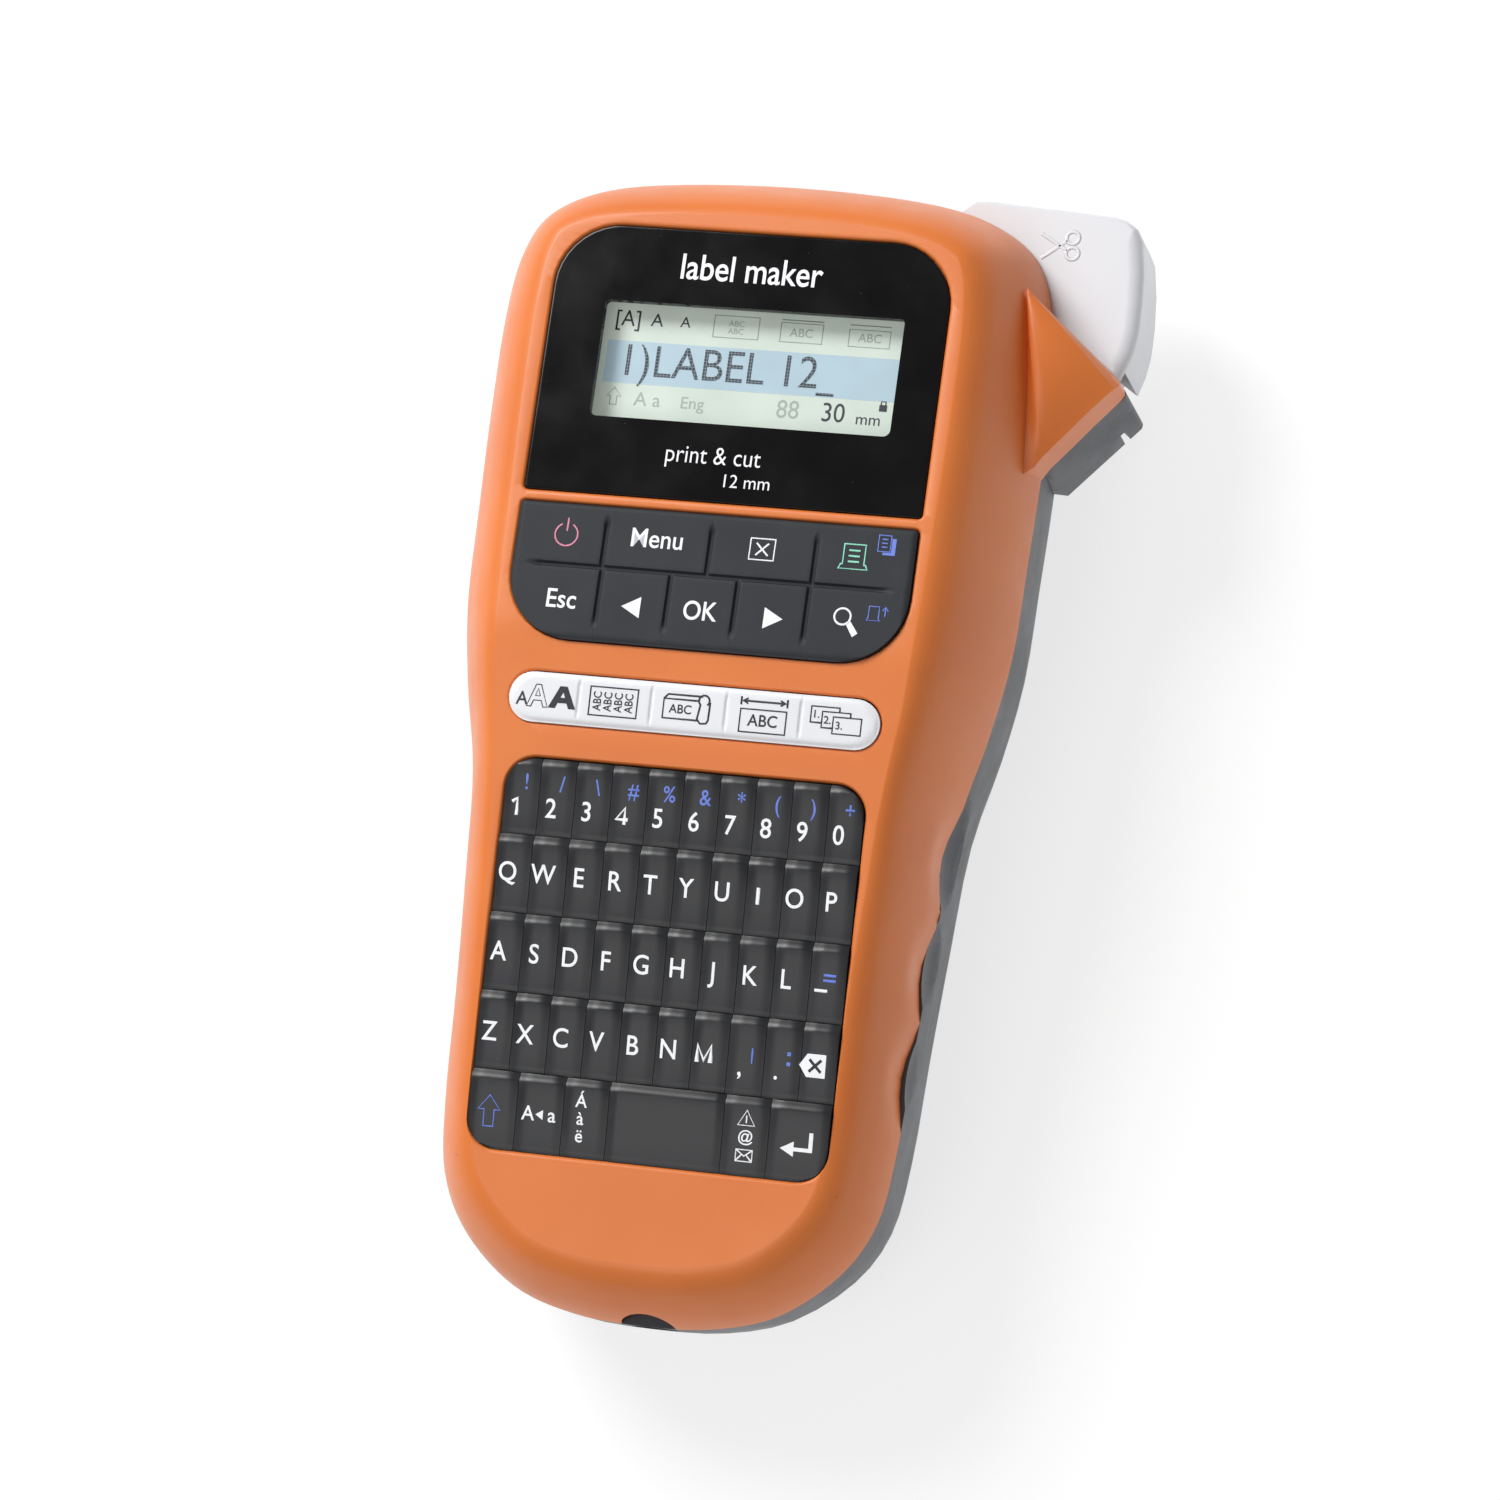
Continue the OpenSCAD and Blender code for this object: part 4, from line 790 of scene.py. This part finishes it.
class Print:
    """Ink shapes in one colour on one body, laid on a surface."""

    def __init__(self, name, finish, body, frame_at, height):
        self.name, self.finish, self.body = name, finish, body
        self.frame_at, self.height, self.parts = frame_at, height, []

    def keep(self, x, y, thin=1.0, turn=0.0, wide=1.0):
        """Makes the fresh object a mesh and sets it flat at x, y."""
        bpy.ops.object.convert(target="MESH")
        obj = bpy.context.object
        c, s = cos(turn), sin(turn)
        for v in obj.data.vertices:
            px, py = v.co.x * wide, v.co.y
            v.co = (x + px * c - py * s, y + px * s + py * c, v.co.z * thin)
        self.parts.append(obj)
        return self

    def text(self, words, x, y, size, wide=1.0, heavy=0.0, turn=0.0):
        bpy.ops.object.select_all(action="DESELECT")
        bpy.ops.object.text_add()
        data = bpy.context.object.data
        data.body, data.size, data.offset = words, size, heavy
        data.align_x, data.align_y = "CENTER", "CENTER"
        data.resolution_u = 5
        return self.keep(x, y, 1, turn, wide)

    def lines(self, x, y, width, *runs):
        """Strokes of one width; a run that ends where it starts is closed."""
        bpy.ops.object.select_all(action="DESELECT")
        data = bpy.data.curves.new("stroke", "CURVE")
        data.dimensions = "3D"
        data.bevel_depth, data.bevel_resolution = width / 2, 1
        for run in runs:
            shut = len(run) > 2 and run[0] == run[-1]
            points = run[:-1] if shut else run
            line = data.splines.new("POLY")
            line.points.add(len(points) - 1)
            line.use_cyclic_u = shut
            for p, (px, py) in zip(line.points, points):
                p.co = (px, py, 0, 1)
        obj = bpy.data.objects.new("stroke", data)
        bpy.context.scene.collection.objects.link(obj)
        pick(obj)
        return self.keep(x, y, 0.25)

    def fill(self, x, y, *rings):
        """Filled shapes; a ring inside another is a hole."""
        bpy.ops.object.select_all(action="DESELECT")
        data = bpy.data.curves.new("patch", "CURVE")
        data.dimensions, data.fill_mode = "2D", "BOTH"
        for ring in rings:
            line = data.splines.new("POLY")
            line.points.add(len(ring) - 1)
            line.use_cyclic_u = True
            for p, (px, py) in zip(line.points, ring):
                p.co = (px, py, 0, 1)
        obj = bpy.data.objects.new("patch", data)
        bpy.context.scene.collection.objects.link(obj)
        pick(obj)
        return self.keep(x, y, 0)

    def done(self):
        """Joins the shapes, splits their long edges and lays them on the surface."""
        obj = joined(self.name, self.parts)
        edit(obj, lambda: bpy.ops.mesh.quads_convert_to_tris())
        for _ in range(3):
            pick(obj)
            points = obj.data.vertices
            bpy.ops.object.mode_set(mode="EDIT")
            bpy.ops.mesh.select_mode(type="EDGE")
            bpy.ops.mesh.select_all(action="DESELECT")
            bpy.ops.object.mode_set(mode="OBJECT")
            far = 0
            for e in obj.data.edges:
                a, b = (points[k].co for k in e.vertices)
                e.select = (a - b).length > INK_EDGE
                far += e.select
            if not far:
                break
            bpy.ops.object.mode_set(mode="EDIT")
            bpy.ops.mesh.subdivide(number_cuts=1)
            bpy.ops.object.mode_set(mode="OBJECT")
        for v in obj.data.vertices:
            x, y, z = v.co
            v.co = self.frame_at @ Vector((x, y, self.height(x, y) + INK + z)) * MM
        return finished(obj, self.finish, self.body)


def ring(r, start=0, end=360, steps=28, x=0.0, y=0.0):
    return [(x + r * cos(radians(start + (end - start) * k / steps)),
             y + r * sin(radians(start + (end - start) * k / steps))) for k in range(steps + 1)]


def rect(x1, y1, x2, y2):
    return [(x1, y1), (x2, y1), (x2, y2), (x1, y2), (x1, y1)]


def letter_y(s):
    return (s - LETTER_S) / cos(TILT)


GLYPH_X = [-29.9 + 6.44 * i for i in range(10)]
DRAWN = {"M": [(-1.2, -1.45), (-1.2, 1.45), (0, -1.1), (1.2, 1.45), (1.2, -1.45)],
         "1": [(0.3, -1.45), (0.3, 1.45), (-0.6, 0.8)],
         "4": [(0.5, -1.45), (0.5, 1.4), (-1.05, -0.6), (1.1, -0.6)],
         "I": [(0, -1.45), (0, 1.45)]}
for body, row, words, s in (("row_digits", 4, "1234567890", 85.9), ("row_upper", 3, "QWERTYUIOP", 74.4),
                            ("row_middle", 2, "ASDFGHJKL_", 60.6), ("row_lower", 1, "ZXCVBNM,.", 46.7)):
    white = Print(body + "_legend", WHITE_INK, body, LETTERS, letter_height(row, TENS))
    for k, glyph in enumerate(words):
        low = {"_": -0.5, ",": -1.6, ".": -1.6}.get(glyph, 0)
        if glyph == "_":
            white.lines(GLYPH_X[k] - 0.1, letter_y(s) - 1.2, 0.55, [(-1.15, 0), (1.15, 0)])
        elif glyph in DRAWN:
            white.lines(GLYPH_X[k], letter_y(s), 0.9 if glyph == "M" else 0.68, DRAWN[glyph])
        else:
            white.text(glyph, GLYPH_X[k], letter_y(s) + low, 4.75, 0.9, 0.045)
    if body == "row_lower":
        x, y = GLYPH_X[9], letter_y(s) - 0.1
        white.fill(x, y, [(-2.5, 0), (-1.1, 2), (2.2, 2), (2.2, -2), (-1.1, -2)])
    white.done()
    if body == "row_lower":
        cross = Print("erase_cross", LETTER_RUBBER, body, LETTERS,
                      lambda x, y, h=letter_height(1, TENS): h(x, y) + 0.03)
        cross.lines(x + 0.35, y, 0.5, [(-1.05, -1.05), (1.05, 1.05)], [(-1.05, 1.05), (1.05, -1.05)])
        cross.done()

blue = Print("digits_blue", BLUE_INK, "row_digits", LETTERS, letter_height(4, TENS))
for k, glyph in enumerate("!/\\#%&*()+"):
    blue.text(glyph, GLYPH_X[k] + 1.75, letter_y(90.2), 3.9, 0.86, 0.03)
blue.done()
blue = Print("middle_blue", BLUE_INK, "row_middle", LETTERS, letter_height(2, TENS))
blue.lines(GLYPH_X[9] + 1.3, letter_y(61.6), 0.5, [(-1.1, 0.45), (1.1, 0.45)], [(-1.1, -0.45), (1.1, -0.45)])
blue.done()
blue = Print("lower_blue", BLUE_INK, "row_lower", LETTERS, letter_height(1, TENS))
blue.lines(GLYPH_X[7] + 2.1, letter_y(47.2), 0.36, [(0, -1.3), (0, 1.3)])
blue.fill(GLYPH_X[8] + 2.1, letter_y(47.2), rect(-0.32, 0.6, 0.32, 1.25)[:-1],
          rect(-0.32, -1.1, 0.32, -0.45)[:-1])
blue.done()

low_y = letter_y(33.4)


def bottom_height(x, y):
    return letter_height(0, BOTTOM)(x, y)


shift = Print("shift_arrow", BLUE_INK, "key_shift", LETTERS, bottom_height)
shift.lines(-28.3, low_y - 0.4, 0.3, [(0, 2.9), (2, 0.4), (0.9, 0.4), (0.9, -2.5), (-0.9, -2.5),
                                      (-0.9, 0.4), (-2, 0.4), (0, 2.9)]).done()
caps = Print("caps_legend", WHITE_INK, "key_caps", LETTERS, bottom_height)
caps.text("A", -21.3, low_y, 3.6, 0.95, 0.03).text("a", -17.0, low_y, 3.6, 0.95, 0.03)
caps.fill(-19.2, low_y, [(-0.75, 0), (0.6, 0.85), (0.6, -0.85)]).done()
accent = Print("accent_legend", WHITE_INK, "key_accent", LETTERS, bottom_height)
for k, glyph in enumerate("Áàë"):
    accent.text(glyph, -11.9, low_y + 3.0 - 3.0 * k, 3.2, 0.95, 0.03)
accent.done()
symbol = Print("symbol_legend", WHITE_INK, "key_symbol", LETTERS, bottom_height)
sx = 17.6
symbol.lines(sx, low_y + 3.1, 0.26, [(0, 1.45), (1.5, -1.15), (-1.5, -1.15), (0, 1.45)],
             [(0, 0.55), (0, -0.75)])
symbol.text("@", sx, low_y, 2.7, 1, 0.03)
symbol.lines(sx, low_y - 3.2, 0.26, rect(-1.45, -1, 1.45, 1), [(-1.45, 1), (0, -0.1), (1.45, 1)],
             [(-1.45, -1), (-0.4, 0.15)], [(1.45, -1), (0.4, 0.15)]).done()
enter = Print("enter_arrow", WHITE_INK, "key_enter", LETTERS, bottom_height)
enter.fill(26.9, low_y - 1.2, [(-3.1, 0), (-0.7, 1.3), (-0.7, 0.32), (1.9, 0.32), (1.9, 3), (2.6, 3),
                               (2.6, -0.34), (-0.7, -0.34), (-0.7, -1.3)]).done()


def func(name, finish, body):
    return Print(name, finish, body, FUNCTIONS, function_top)


TOP_Y, LOW_Y = FUNC_SPLIT + 5.3, 6.6
func("power_ring", PINK_INK, "key_power").lines(
    -26.6, TOP_Y + 0.1, 0.36, ring(2.05, 118, 422, 30), [(0.05, 0.6), (0.05, 3)]).done()
func("menu_word", WHITE_INK, "key_menu").text("Menu", -10.2, TOP_Y + 0.4, 4.8, 0.9, 0.035).done()
func("clear_box", WHITE_INK, "key_clear").lines(
    8.8, TOP_Y + 0.2, 0.34, rect(-2.2, -1.9, 2.2, 1.9), [(-1.1, -1.1), (1.1, 1.1)],
    [(-1.1, 1.1), (1.1, -1.1)]).done()
func("print_page", MINT_INK, "key_print").lines(
    25.2, TOP_Y, 0.36, [(-2.6, -2), (2.6, -2), (2.2, -1.2), (1.9, -1.2), (1.9, 2.4), (-1.9, 2.4),
                        (-1.9, -1.2), (-2.2, -1.2), (-2.6, -2)],
    [(-1, 1.3), (1, 1.3)], [(-1, 0.3), (1, 0.3)], [(-1, -0.7), (1, -0.7)]).done()
copies = func("copies_page", BLUE_INK, "key_print")
copies.lines(30.5, TOP_Y + 3.0, 0.26, rect(-1.3, -1.5, 0.9, 1.4), [(-0.7, 0.7), (0.3, 0.7)],
             [(-0.7, 0), (0.3, 0)], [(-0.7, -0.7), (0.3, -0.7)])
copies.fill(30.5, TOP_Y + 3.0, [(1.05, 0.9), (1.8, 0.9), (1.8, -2.1), (-0.4, -2.1), (-0.4, -1.65),
                                (1.05, -1.65)])
copies.done()
func("escape_word", WHITE_INK, "key_escape").text("Esc", -25.9, LOW_Y + 0.3, 4.8, 0.9, 0.045).done()
func("left_arrow", WHITE_INK, "key_left").fill(-13.1, LOW_Y, [(-1.8, 0), (1.6, 1.9), (1.6, -1.9)]).done()
func("ok_word", WHITE_INK, "key_ok").text("OK", -0.8, LOW_Y + 0.1, 4.8, 0.86, 0.05).done()
func("right_arrow", WHITE_INK, "key_right").fill(12.3, LOW_Y, [(1.8, 0), (-1.6, 1.9), (-1.6, -1.9)]).done()
find = func("find_lens", WHITE_INK, "key_find")
find.lines(25.3, LOW_Y + 0.6, 0.4, ring(1.45, 0, 360, 24, -0.7, 0.8))
find.fill(25.3, LOW_Y + 0.6, [(0.05, -0.55), (0.75, 0.1), (2.3, -2), (1.4, -2.7)]).done()
feed = func("feed_mark", BLUE_INK, "key_find")
feed.lines(30.3, LOW_Y + 2.4, 0.24, [(-1.5, -1.3), (0.9, -1.3), (0.6, -0.9), (0.6, 1.2), (-1.2, 1.2),
                                     (-1.2, -0.9), (-1.5, -1.3)], [(1.7, -0.5), (1.7, 1.1)],
           [(1.2, 0.5), (1.7, 1.2), (2.2, 0.5)]).done()


def icon(name, body):
    return Print(name, BLACK_INK, body, STRIP, strip_top)


mid_y = STRIP_L / 2
letters = icon("font_icon", "key_font")
letters.text("A", -30.7, mid_y - 0.7, 3.3, 0.95, 0.03).lines(
    -27.9, mid_y, 0.2, [(-1.9, -1.9), (-0.45, 2), (0.45, 2), (1.9, -1.9), (1.1, -1.9), (0.7, -0.8),
                        (-0.7, -0.8), (-1.1, -1.9), (-1.9, -1.9)],
    [(-0.45, 0), (0, 1.3), (0.45, 0), (-0.45, 0)])
letters.fill(-23.4, mid_y, [(-2.5, -1.9), (-0.6, 2), (0.7, 2), (2.5, -1.9), (1.2, -1.9), (0.8, -0.95),
                            (-0.8, -0.95), (-1.2, -1.9)], [(-0.4, 0), (0.45, 0), (0.05, 0.95)]).done()
grid = icon("grid_icon", "key_text_grid")
gx = -14.2
grid.lines(gx, mid_y, 0.34, rect(-4.3, -2.5, 4.3, 2.5))
for k in range(4):
    grid.text("ABC", gx - 2.85 + 1.9 * k, mid_y, 2.05, 0.86, 0.025, pi / 2)
grid.done()
flag = icon("flag_icon", "key_flag")
fx = -0.9
flag.lines(fx, mid_y, 0.34, [(2.1, -1.9), (-4.3, -1.9), (-4.3, 1.5), (1.9, 1.5)],
           [(-4.3, 1.5), (-3.6, 2.3), (2.6, 2.3)], ring(0.95, -50, 230, 14, 2.9, 1.6),
           [(2.3, 0.9), (1.9, -1.6), (2.5, -2.4), (3.6, -2.3), (3.9, -1.7), (4.0, 1.4)])
flag.text("ABC", fx - 1.2, mid_y - 0.25, 2.2, 0.95, 0.025).done()
length = icon("length_icon", "key_length")
lx = 12.7
length.lines(lx, mid_y, 0.34, rect(-4.1, -3.1, 4.1, 0.9), [(-4.1, 1.6), (-4.1, 3)], [(4.1, 1.6), (4.1, 3)],
             [(-3.8, 2.3), (3.8, 2.3)], [(-2.9, 2.75), (-3.8, 2.3), (-2.9, 1.85)],
             [(2.9, 2.75), (3.8, 2.3), (2.9, 1.85)])
length.text("ABC", lx, mid_y - 1.1, 2.9, 0.95, 0.03).done()
number = icon("number_icon", "key_number")
nx = 25.6
number.lines(nx, mid_y, 0.32, [(-2.6, -0.4), (-4.5, -0.4), (-4.5, 2.4), (0.5, 2.4), (0.5, 1.6)],
             [(-0.6, -1.2), (-2.5, -1.2), (-2.5, 1.6), (2.5, 1.6), (2.5, 0.8)], rect(-0.5, -2.1, 4.5, 0.8))
number.text("1.", nx - 3.6, mid_y + 1.0, 1.9, 1, 0.02).text("2.", nx - 1.5, mid_y + 0.1, 1.9, 1, 0.02)
number.text("3.", nx + 0.6, mid_y - 0.7, 1.9, 1, 0.02).done()


# ---------------------------------------------------------------- lens and display
lens = loft("lens_plate", [
    (rounded(LENS_W - 0.1, LENS_L - 0.1, 0.6, 11.5, 0), -1.6),
    (rounded(LENS_W - 0.1, LENS_L - 0.1, 0.6, 11.5, 0), -0.38),
    (rounded(LENS_W - 0.1, LENS_L - 0.1, 0.6, 11.5, -0.12), -0.16),
    (rounded(LENS_W - 0.1, LENS_L - 0.1, 0.6, 11.5, -0.4), -0.1)],
    LENS @ Matrix.Translation((0, 0.05, 0)))
WIN_X, WIN_S, WIN_W, WIN_L = 1.15, 156.2, 54.3, 21.3
WINDOW_AT = DISPLAY @ Matrix.Translation((WIN_X, at(WIN_S), 0))
carve(lens, loft("window_hole", [(rounded(WIN_W, WIN_L, 1.3, 0.8), -3),
                                 (rounded(WIN_W, WIN_L, 1.3, 0.8), 1)], WINDOW_AT))
finished(polish(lens, 40), LENS_BLACK, "casing", "display_window")
pane = loft("window_pane", [(rounded(WIN_W, WIN_L, 1.3, 0.8), -1.2),
                            (rounded(WIN_W, WIN_L, 1.3, 0.8), -0.14)], WINDOW_AT)
finished(polish(pane, 40), WINDOW, "casing")

LCD_Z = 54.2
LCD_AT = Matrix.Translation((0, 0, LCD_Z))


def on_lcd(name, finish, lift=0.0):
    return Print(name, finish, "casing", LCD_AT, lambda x, y: lift)


band = loft("display_band", [(rounded(53.6, 7.8, 0.3, 0.3), 0), (rounded(53.6, 7.8, 0.3, 0.3), 0.03)],
            LCD_AT @ Matrix.Translation((0.9, at(163.7), 0)))
finished(band, LCD_BAND, "casing")
dots = on_lcd("display_words", LCD_DOTS, 0.06)
dots.text("1)LABEL 12", -5.2, at(167.7), 8.3, 0.92, -0.03)
dots.lines(14.6, at(164.2), 0.5, [(-1.6, 0), (1.6, 0)]).done()
ink = on_lcd("display_segments", LCD_INK)
ink.text("[A]", -22.7, at(175.5), 4.2, 0.9).text("A", -17.4, at(175.5), 3.4).text("A", -12.2, at(175.5), 2.8)
ink.text("30", 16.6, at(160.9), 4.9, 0.9).text("mm", 23.0, at(160.2), 3.0)
ink.fill(25.4, at(162.6), rect(-0.7, -0.7, 0.7, 0.5)[:-1])
ink.lines(25.4, at(162.6), 0.24, [(-0.4, 0.5), (-0.4, 1.1), (0.4, 1.1), (0.4, 0.5)]).done()
faint = on_lcd("display_marks", LCD_FAINT)
faint.lines(-1, at(175.2), 0.22, rect(-6, -1.9, 2.2, 2.1), rect(6.2, -1.9, 13.8, 1.6),
            rect(18.6, -1.9, 26, 1.2), [(18.6, 2), (26, 2)], [(6.2, 2.1), (13.8, 2.1)])
faint.text("ABC", 9.0, at(175), 2.2).text("ABC", 21.4, at(174.9), 2.2).text("ABC", -2.9, at(175.9), 1.5)
faint.text("ABC", -2.9, at(174.5), 1.5)
faint.text("A a", -17.2, at(160.9), 3.6).text("Eng", -9.0, at(160.8), 3.1)
faint.text("88", 8.4, at(160.9), 4.7, 0.9)
faint.lines(-23.4, at(161.1), 0.22, [(0, 1.7), (1.3, 0.2), (0.6, 0.2), (0.6, -1.4), (-0.6, -1.4),
                                     (-0.6, 0.2), (-1.3, 0.2), (0, 1.7)]).done()

# Plain words printed on the lens
words = Print("lens_words", WHITE_INK, "casing", DISPLAY, lambda x, y: -0.1)
words.text("label maker", -0.4, at(184.2), 6.6, 0.84, 0.06)
words.text("12 mm", 3.9, at(146.0), 3.4, 0.95, -0.01).text("print & cut", -2.6, at(150.3), 4.6, 0.86, -0.02)
words.done()


# ---------------------------------------------------------------- cutter lever
LEVER_PLAN = [
    (2, 0.5), (23.1, 2.2), (23.1, -1.6), (40.2, -0.1), (41.8, 1.0), (46.2, -0.1), (45, -6.4),
    (43.8, -8), (34, -14.8), (24.8, -21.2), (22.4, -22.3), (20, -22.4), (17.8, -21.4), (13.4, -17.4),
    (9.4, -13), (6.2, -9), (4.2, -5.6), (2.9, -2.4)]


def lever_ring(inset):
    """The lever's outline moved in, more on its broad right side than on its top edge."""
    n, out = len(LEVER_PLAN), []
    for k, p in enumerate(LEVER_PLAN):
        a, b, c = Vector(LEVER_PLAN[k - 1]), Vector(p), Vector(LEVER_PLAN[(k + 1) % n])
        turn = ((c - b).normalized() + (b - a).normalized())
        inward = Vector((turn.y, -turn.x)).normalized()
        broad = 1.0 if k >= 12 or k == 0 else 0.42 if k >= 7 else 0.12
        q = b + inward * inset * broad
        out.append((q.x, q.y))
    return out


LEVER_LOW, LEVER_MID, PLATE_LOW = 6, 19.5, PARTING + 0.2
EDGE_IN, EDGE_DOWN = 2.6, 2.2
lever = loft("lever_body", [(lever_ring(0), LEVER_LOW)] + [
    (lever_ring(EDGE_IN * (1 - cos(radians(a)))), LEVER_TOP - EDGE_DOWN * (1 - sin(radians(a))))
    for a in range(0, 91, 10)], GUIDE)
TIP_ROOM, ARM_W = 10.2, 6
ROOMS = {
    "notch_room": ([(-5, -2.9), (TIP_ROOM, -1.58), (TIP_ROOM, 20), (-5, 20)], PLATE_LOW),
    "pin_room": ([(35.8, -9.5), (55.8, -9.5), (55.8, 10.5), (35.8, 10.5)], LEVER_MID),
    "under_room": ([(-10, -ARM_W - FAR), (60, -ARM_W - FAR), (60, -ARM_W), (TIP_ROOM, -ARM_W),
                    (TIP_ROOM, 20), (-10, 20)], LEVER_MID)}
for name, (plan, high) in ROOMS.items():
    carve(lever, loft(name, [(plan, LEVER_LOW - 4), (plan, high)], GUIDE))
finished(polish(lever, 34), LEVER, "cutter", "cutter_lever")
SCISSORS = Matrix.Translation((49.2, at(199.7), LEVER_TOP)) @ Matrix.Rotation(radians(4), 4, "Z")
scissors = Print("scissors_mark", LEVER, "cutter", SCISSORS, lambda x, y: -0.02)
scissors.lines(0, 0, 0.7, ring(1.15, 0, 360, 20, 2.2, 1.45), ring(1.15, 0, 360, 20, 2.2, -1.45),
               [(1.2, 0.9), (-3.4, -2.3)], [(1.2, -0.9), (-3.4, 2.3)]).done()

# ---------------------------------------------------------------- inner pieces keep the CAD's shape
INNER = {
    STEEL: ("case_screws", "engine_frame", "drive_motor", "gear_pins", "cutter_pin"),
    SPRING_STEEL: ("cutter_spring", "battery_springs", "battery_contacts"),
    BLADE_STEEL: ("cutter_blade",),
    NYLON: ("lcd_holder", "motor_pinion", "idler_gear", "platen_gear", "takeup_gear"),
    BOARD: ("display_board", "key_board"), CHIP: ("board_chips",), SOCKET: ("power_jack",),
    RIBBON_FILM: ("display_ribbon",), SHEET_RUBBER: ("function_pad", "shortcut_pad", "letter_pad"),
    ROLLER: ("platen_roller",), CERAMIC: ("print_head",), CASSETTE: ("cassette_case",),
    TAPE: ("tape_spool", "label_tape"), INK_RIBBON: ("ribbon_spool", "takeup_spool"),
    LCD_BACK: ("lcd_panel",), CELLS: ("batteries",),
}
for finish, names in INNER.items():
    for name in names:
        nodes[name].data.materials.clear()
        nodes[name].data.materials.append(finish.material)

# ---------------------------------------------------------------- floor, lights and camera
bpy.ops.object.select_all(action="DESELECT")
bpy.ops.mesh.primitive_plane_add(size=6, location=(0, 0, 0))
floor = bpy.context.object
floor.name = "floor"
paper = bpy.data.materials.new("pale_floor")
paper.use_nodes = True
FLOOR = {"Base Color": (0.32, 0.32, 0.32, 1), "Roughness": 0.9, "Emission Color": (1, 1, 1, 1),
         "Emission Strength": 0.74}
for socket, value in FLOOR.items():
    paper.node_tree.nodes["Principled BSDF"].inputs[socket].default_value = value
floor.data.materials.append(paper)

scene = bpy.context.scene
scene.view_settings.view_transform = "Standard"
world = bpy.data.worlds.new("studio")
world.use_nodes = True
world.node_tree.nodes["Background"].inputs["Color"].default_value = (1, 1, 1, 1)
world.node_tree.nodes["Background"].inputs["Strength"].default_value = 0.24
scene.world = world


def lamp(name, place, aim, size, power):
    data = bpy.data.lights.new(name, "AREA")
    data.shape, data.size, data.energy = "DISK", size, power
    obj = bpy.data.objects.new(name, data)
    scene.collection.objects.link(obj)
    obj.location = place
    obj.rotation_euler = (Vector(aim) - Vector(place)).to_track_quat("-Z", "Y").to_euler()


lamp("key_light", (-0.75, 0.75, 1.15), (0, 0, 0.03), 0.7, 19)
lamp("fill_light", (-0.3, -0.6, 1.4), (0, 0, 0.03), 1.0, 5)

ANGLE, RAISE, ROLL, AWAY = radians(14.73), radians(11.08), radians(8.0), 0.950
toward = Vector((sin(ANGLE) * cos(RAISE), -sin(RAISE), cos(ANGLE) * cos(RAISE)))
level = Vector((cos(ANGLE), 0, -sin(ANGLE)))
upward = toward.cross(level)
right = level * cos(ROLL) + upward * sin(ROLL)
over = upward * cos(ROLL) - level * sin(ROLL)
camera = bpy.data.objects.new("camera", bpy.data.cameras.new("camera"))
scene.collection.objects.link(camera)
turned = Matrix((right, over, toward)).transposed().to_4x4()
camera.matrix_world = Matrix.Translation(Vector((0, -0.0005, 0.041)) + toward * AWAY) @ turned
camera.data.lens, camera.data.sensor_width = 129.6, 36
camera.data.shift_x, camera.data.shift_y = 0.0245, -0.0041
camera.data.clip_start, camera.data.clip_end = 0.01, 20
scene.camera = camera

bpy.context.view_layer.update()
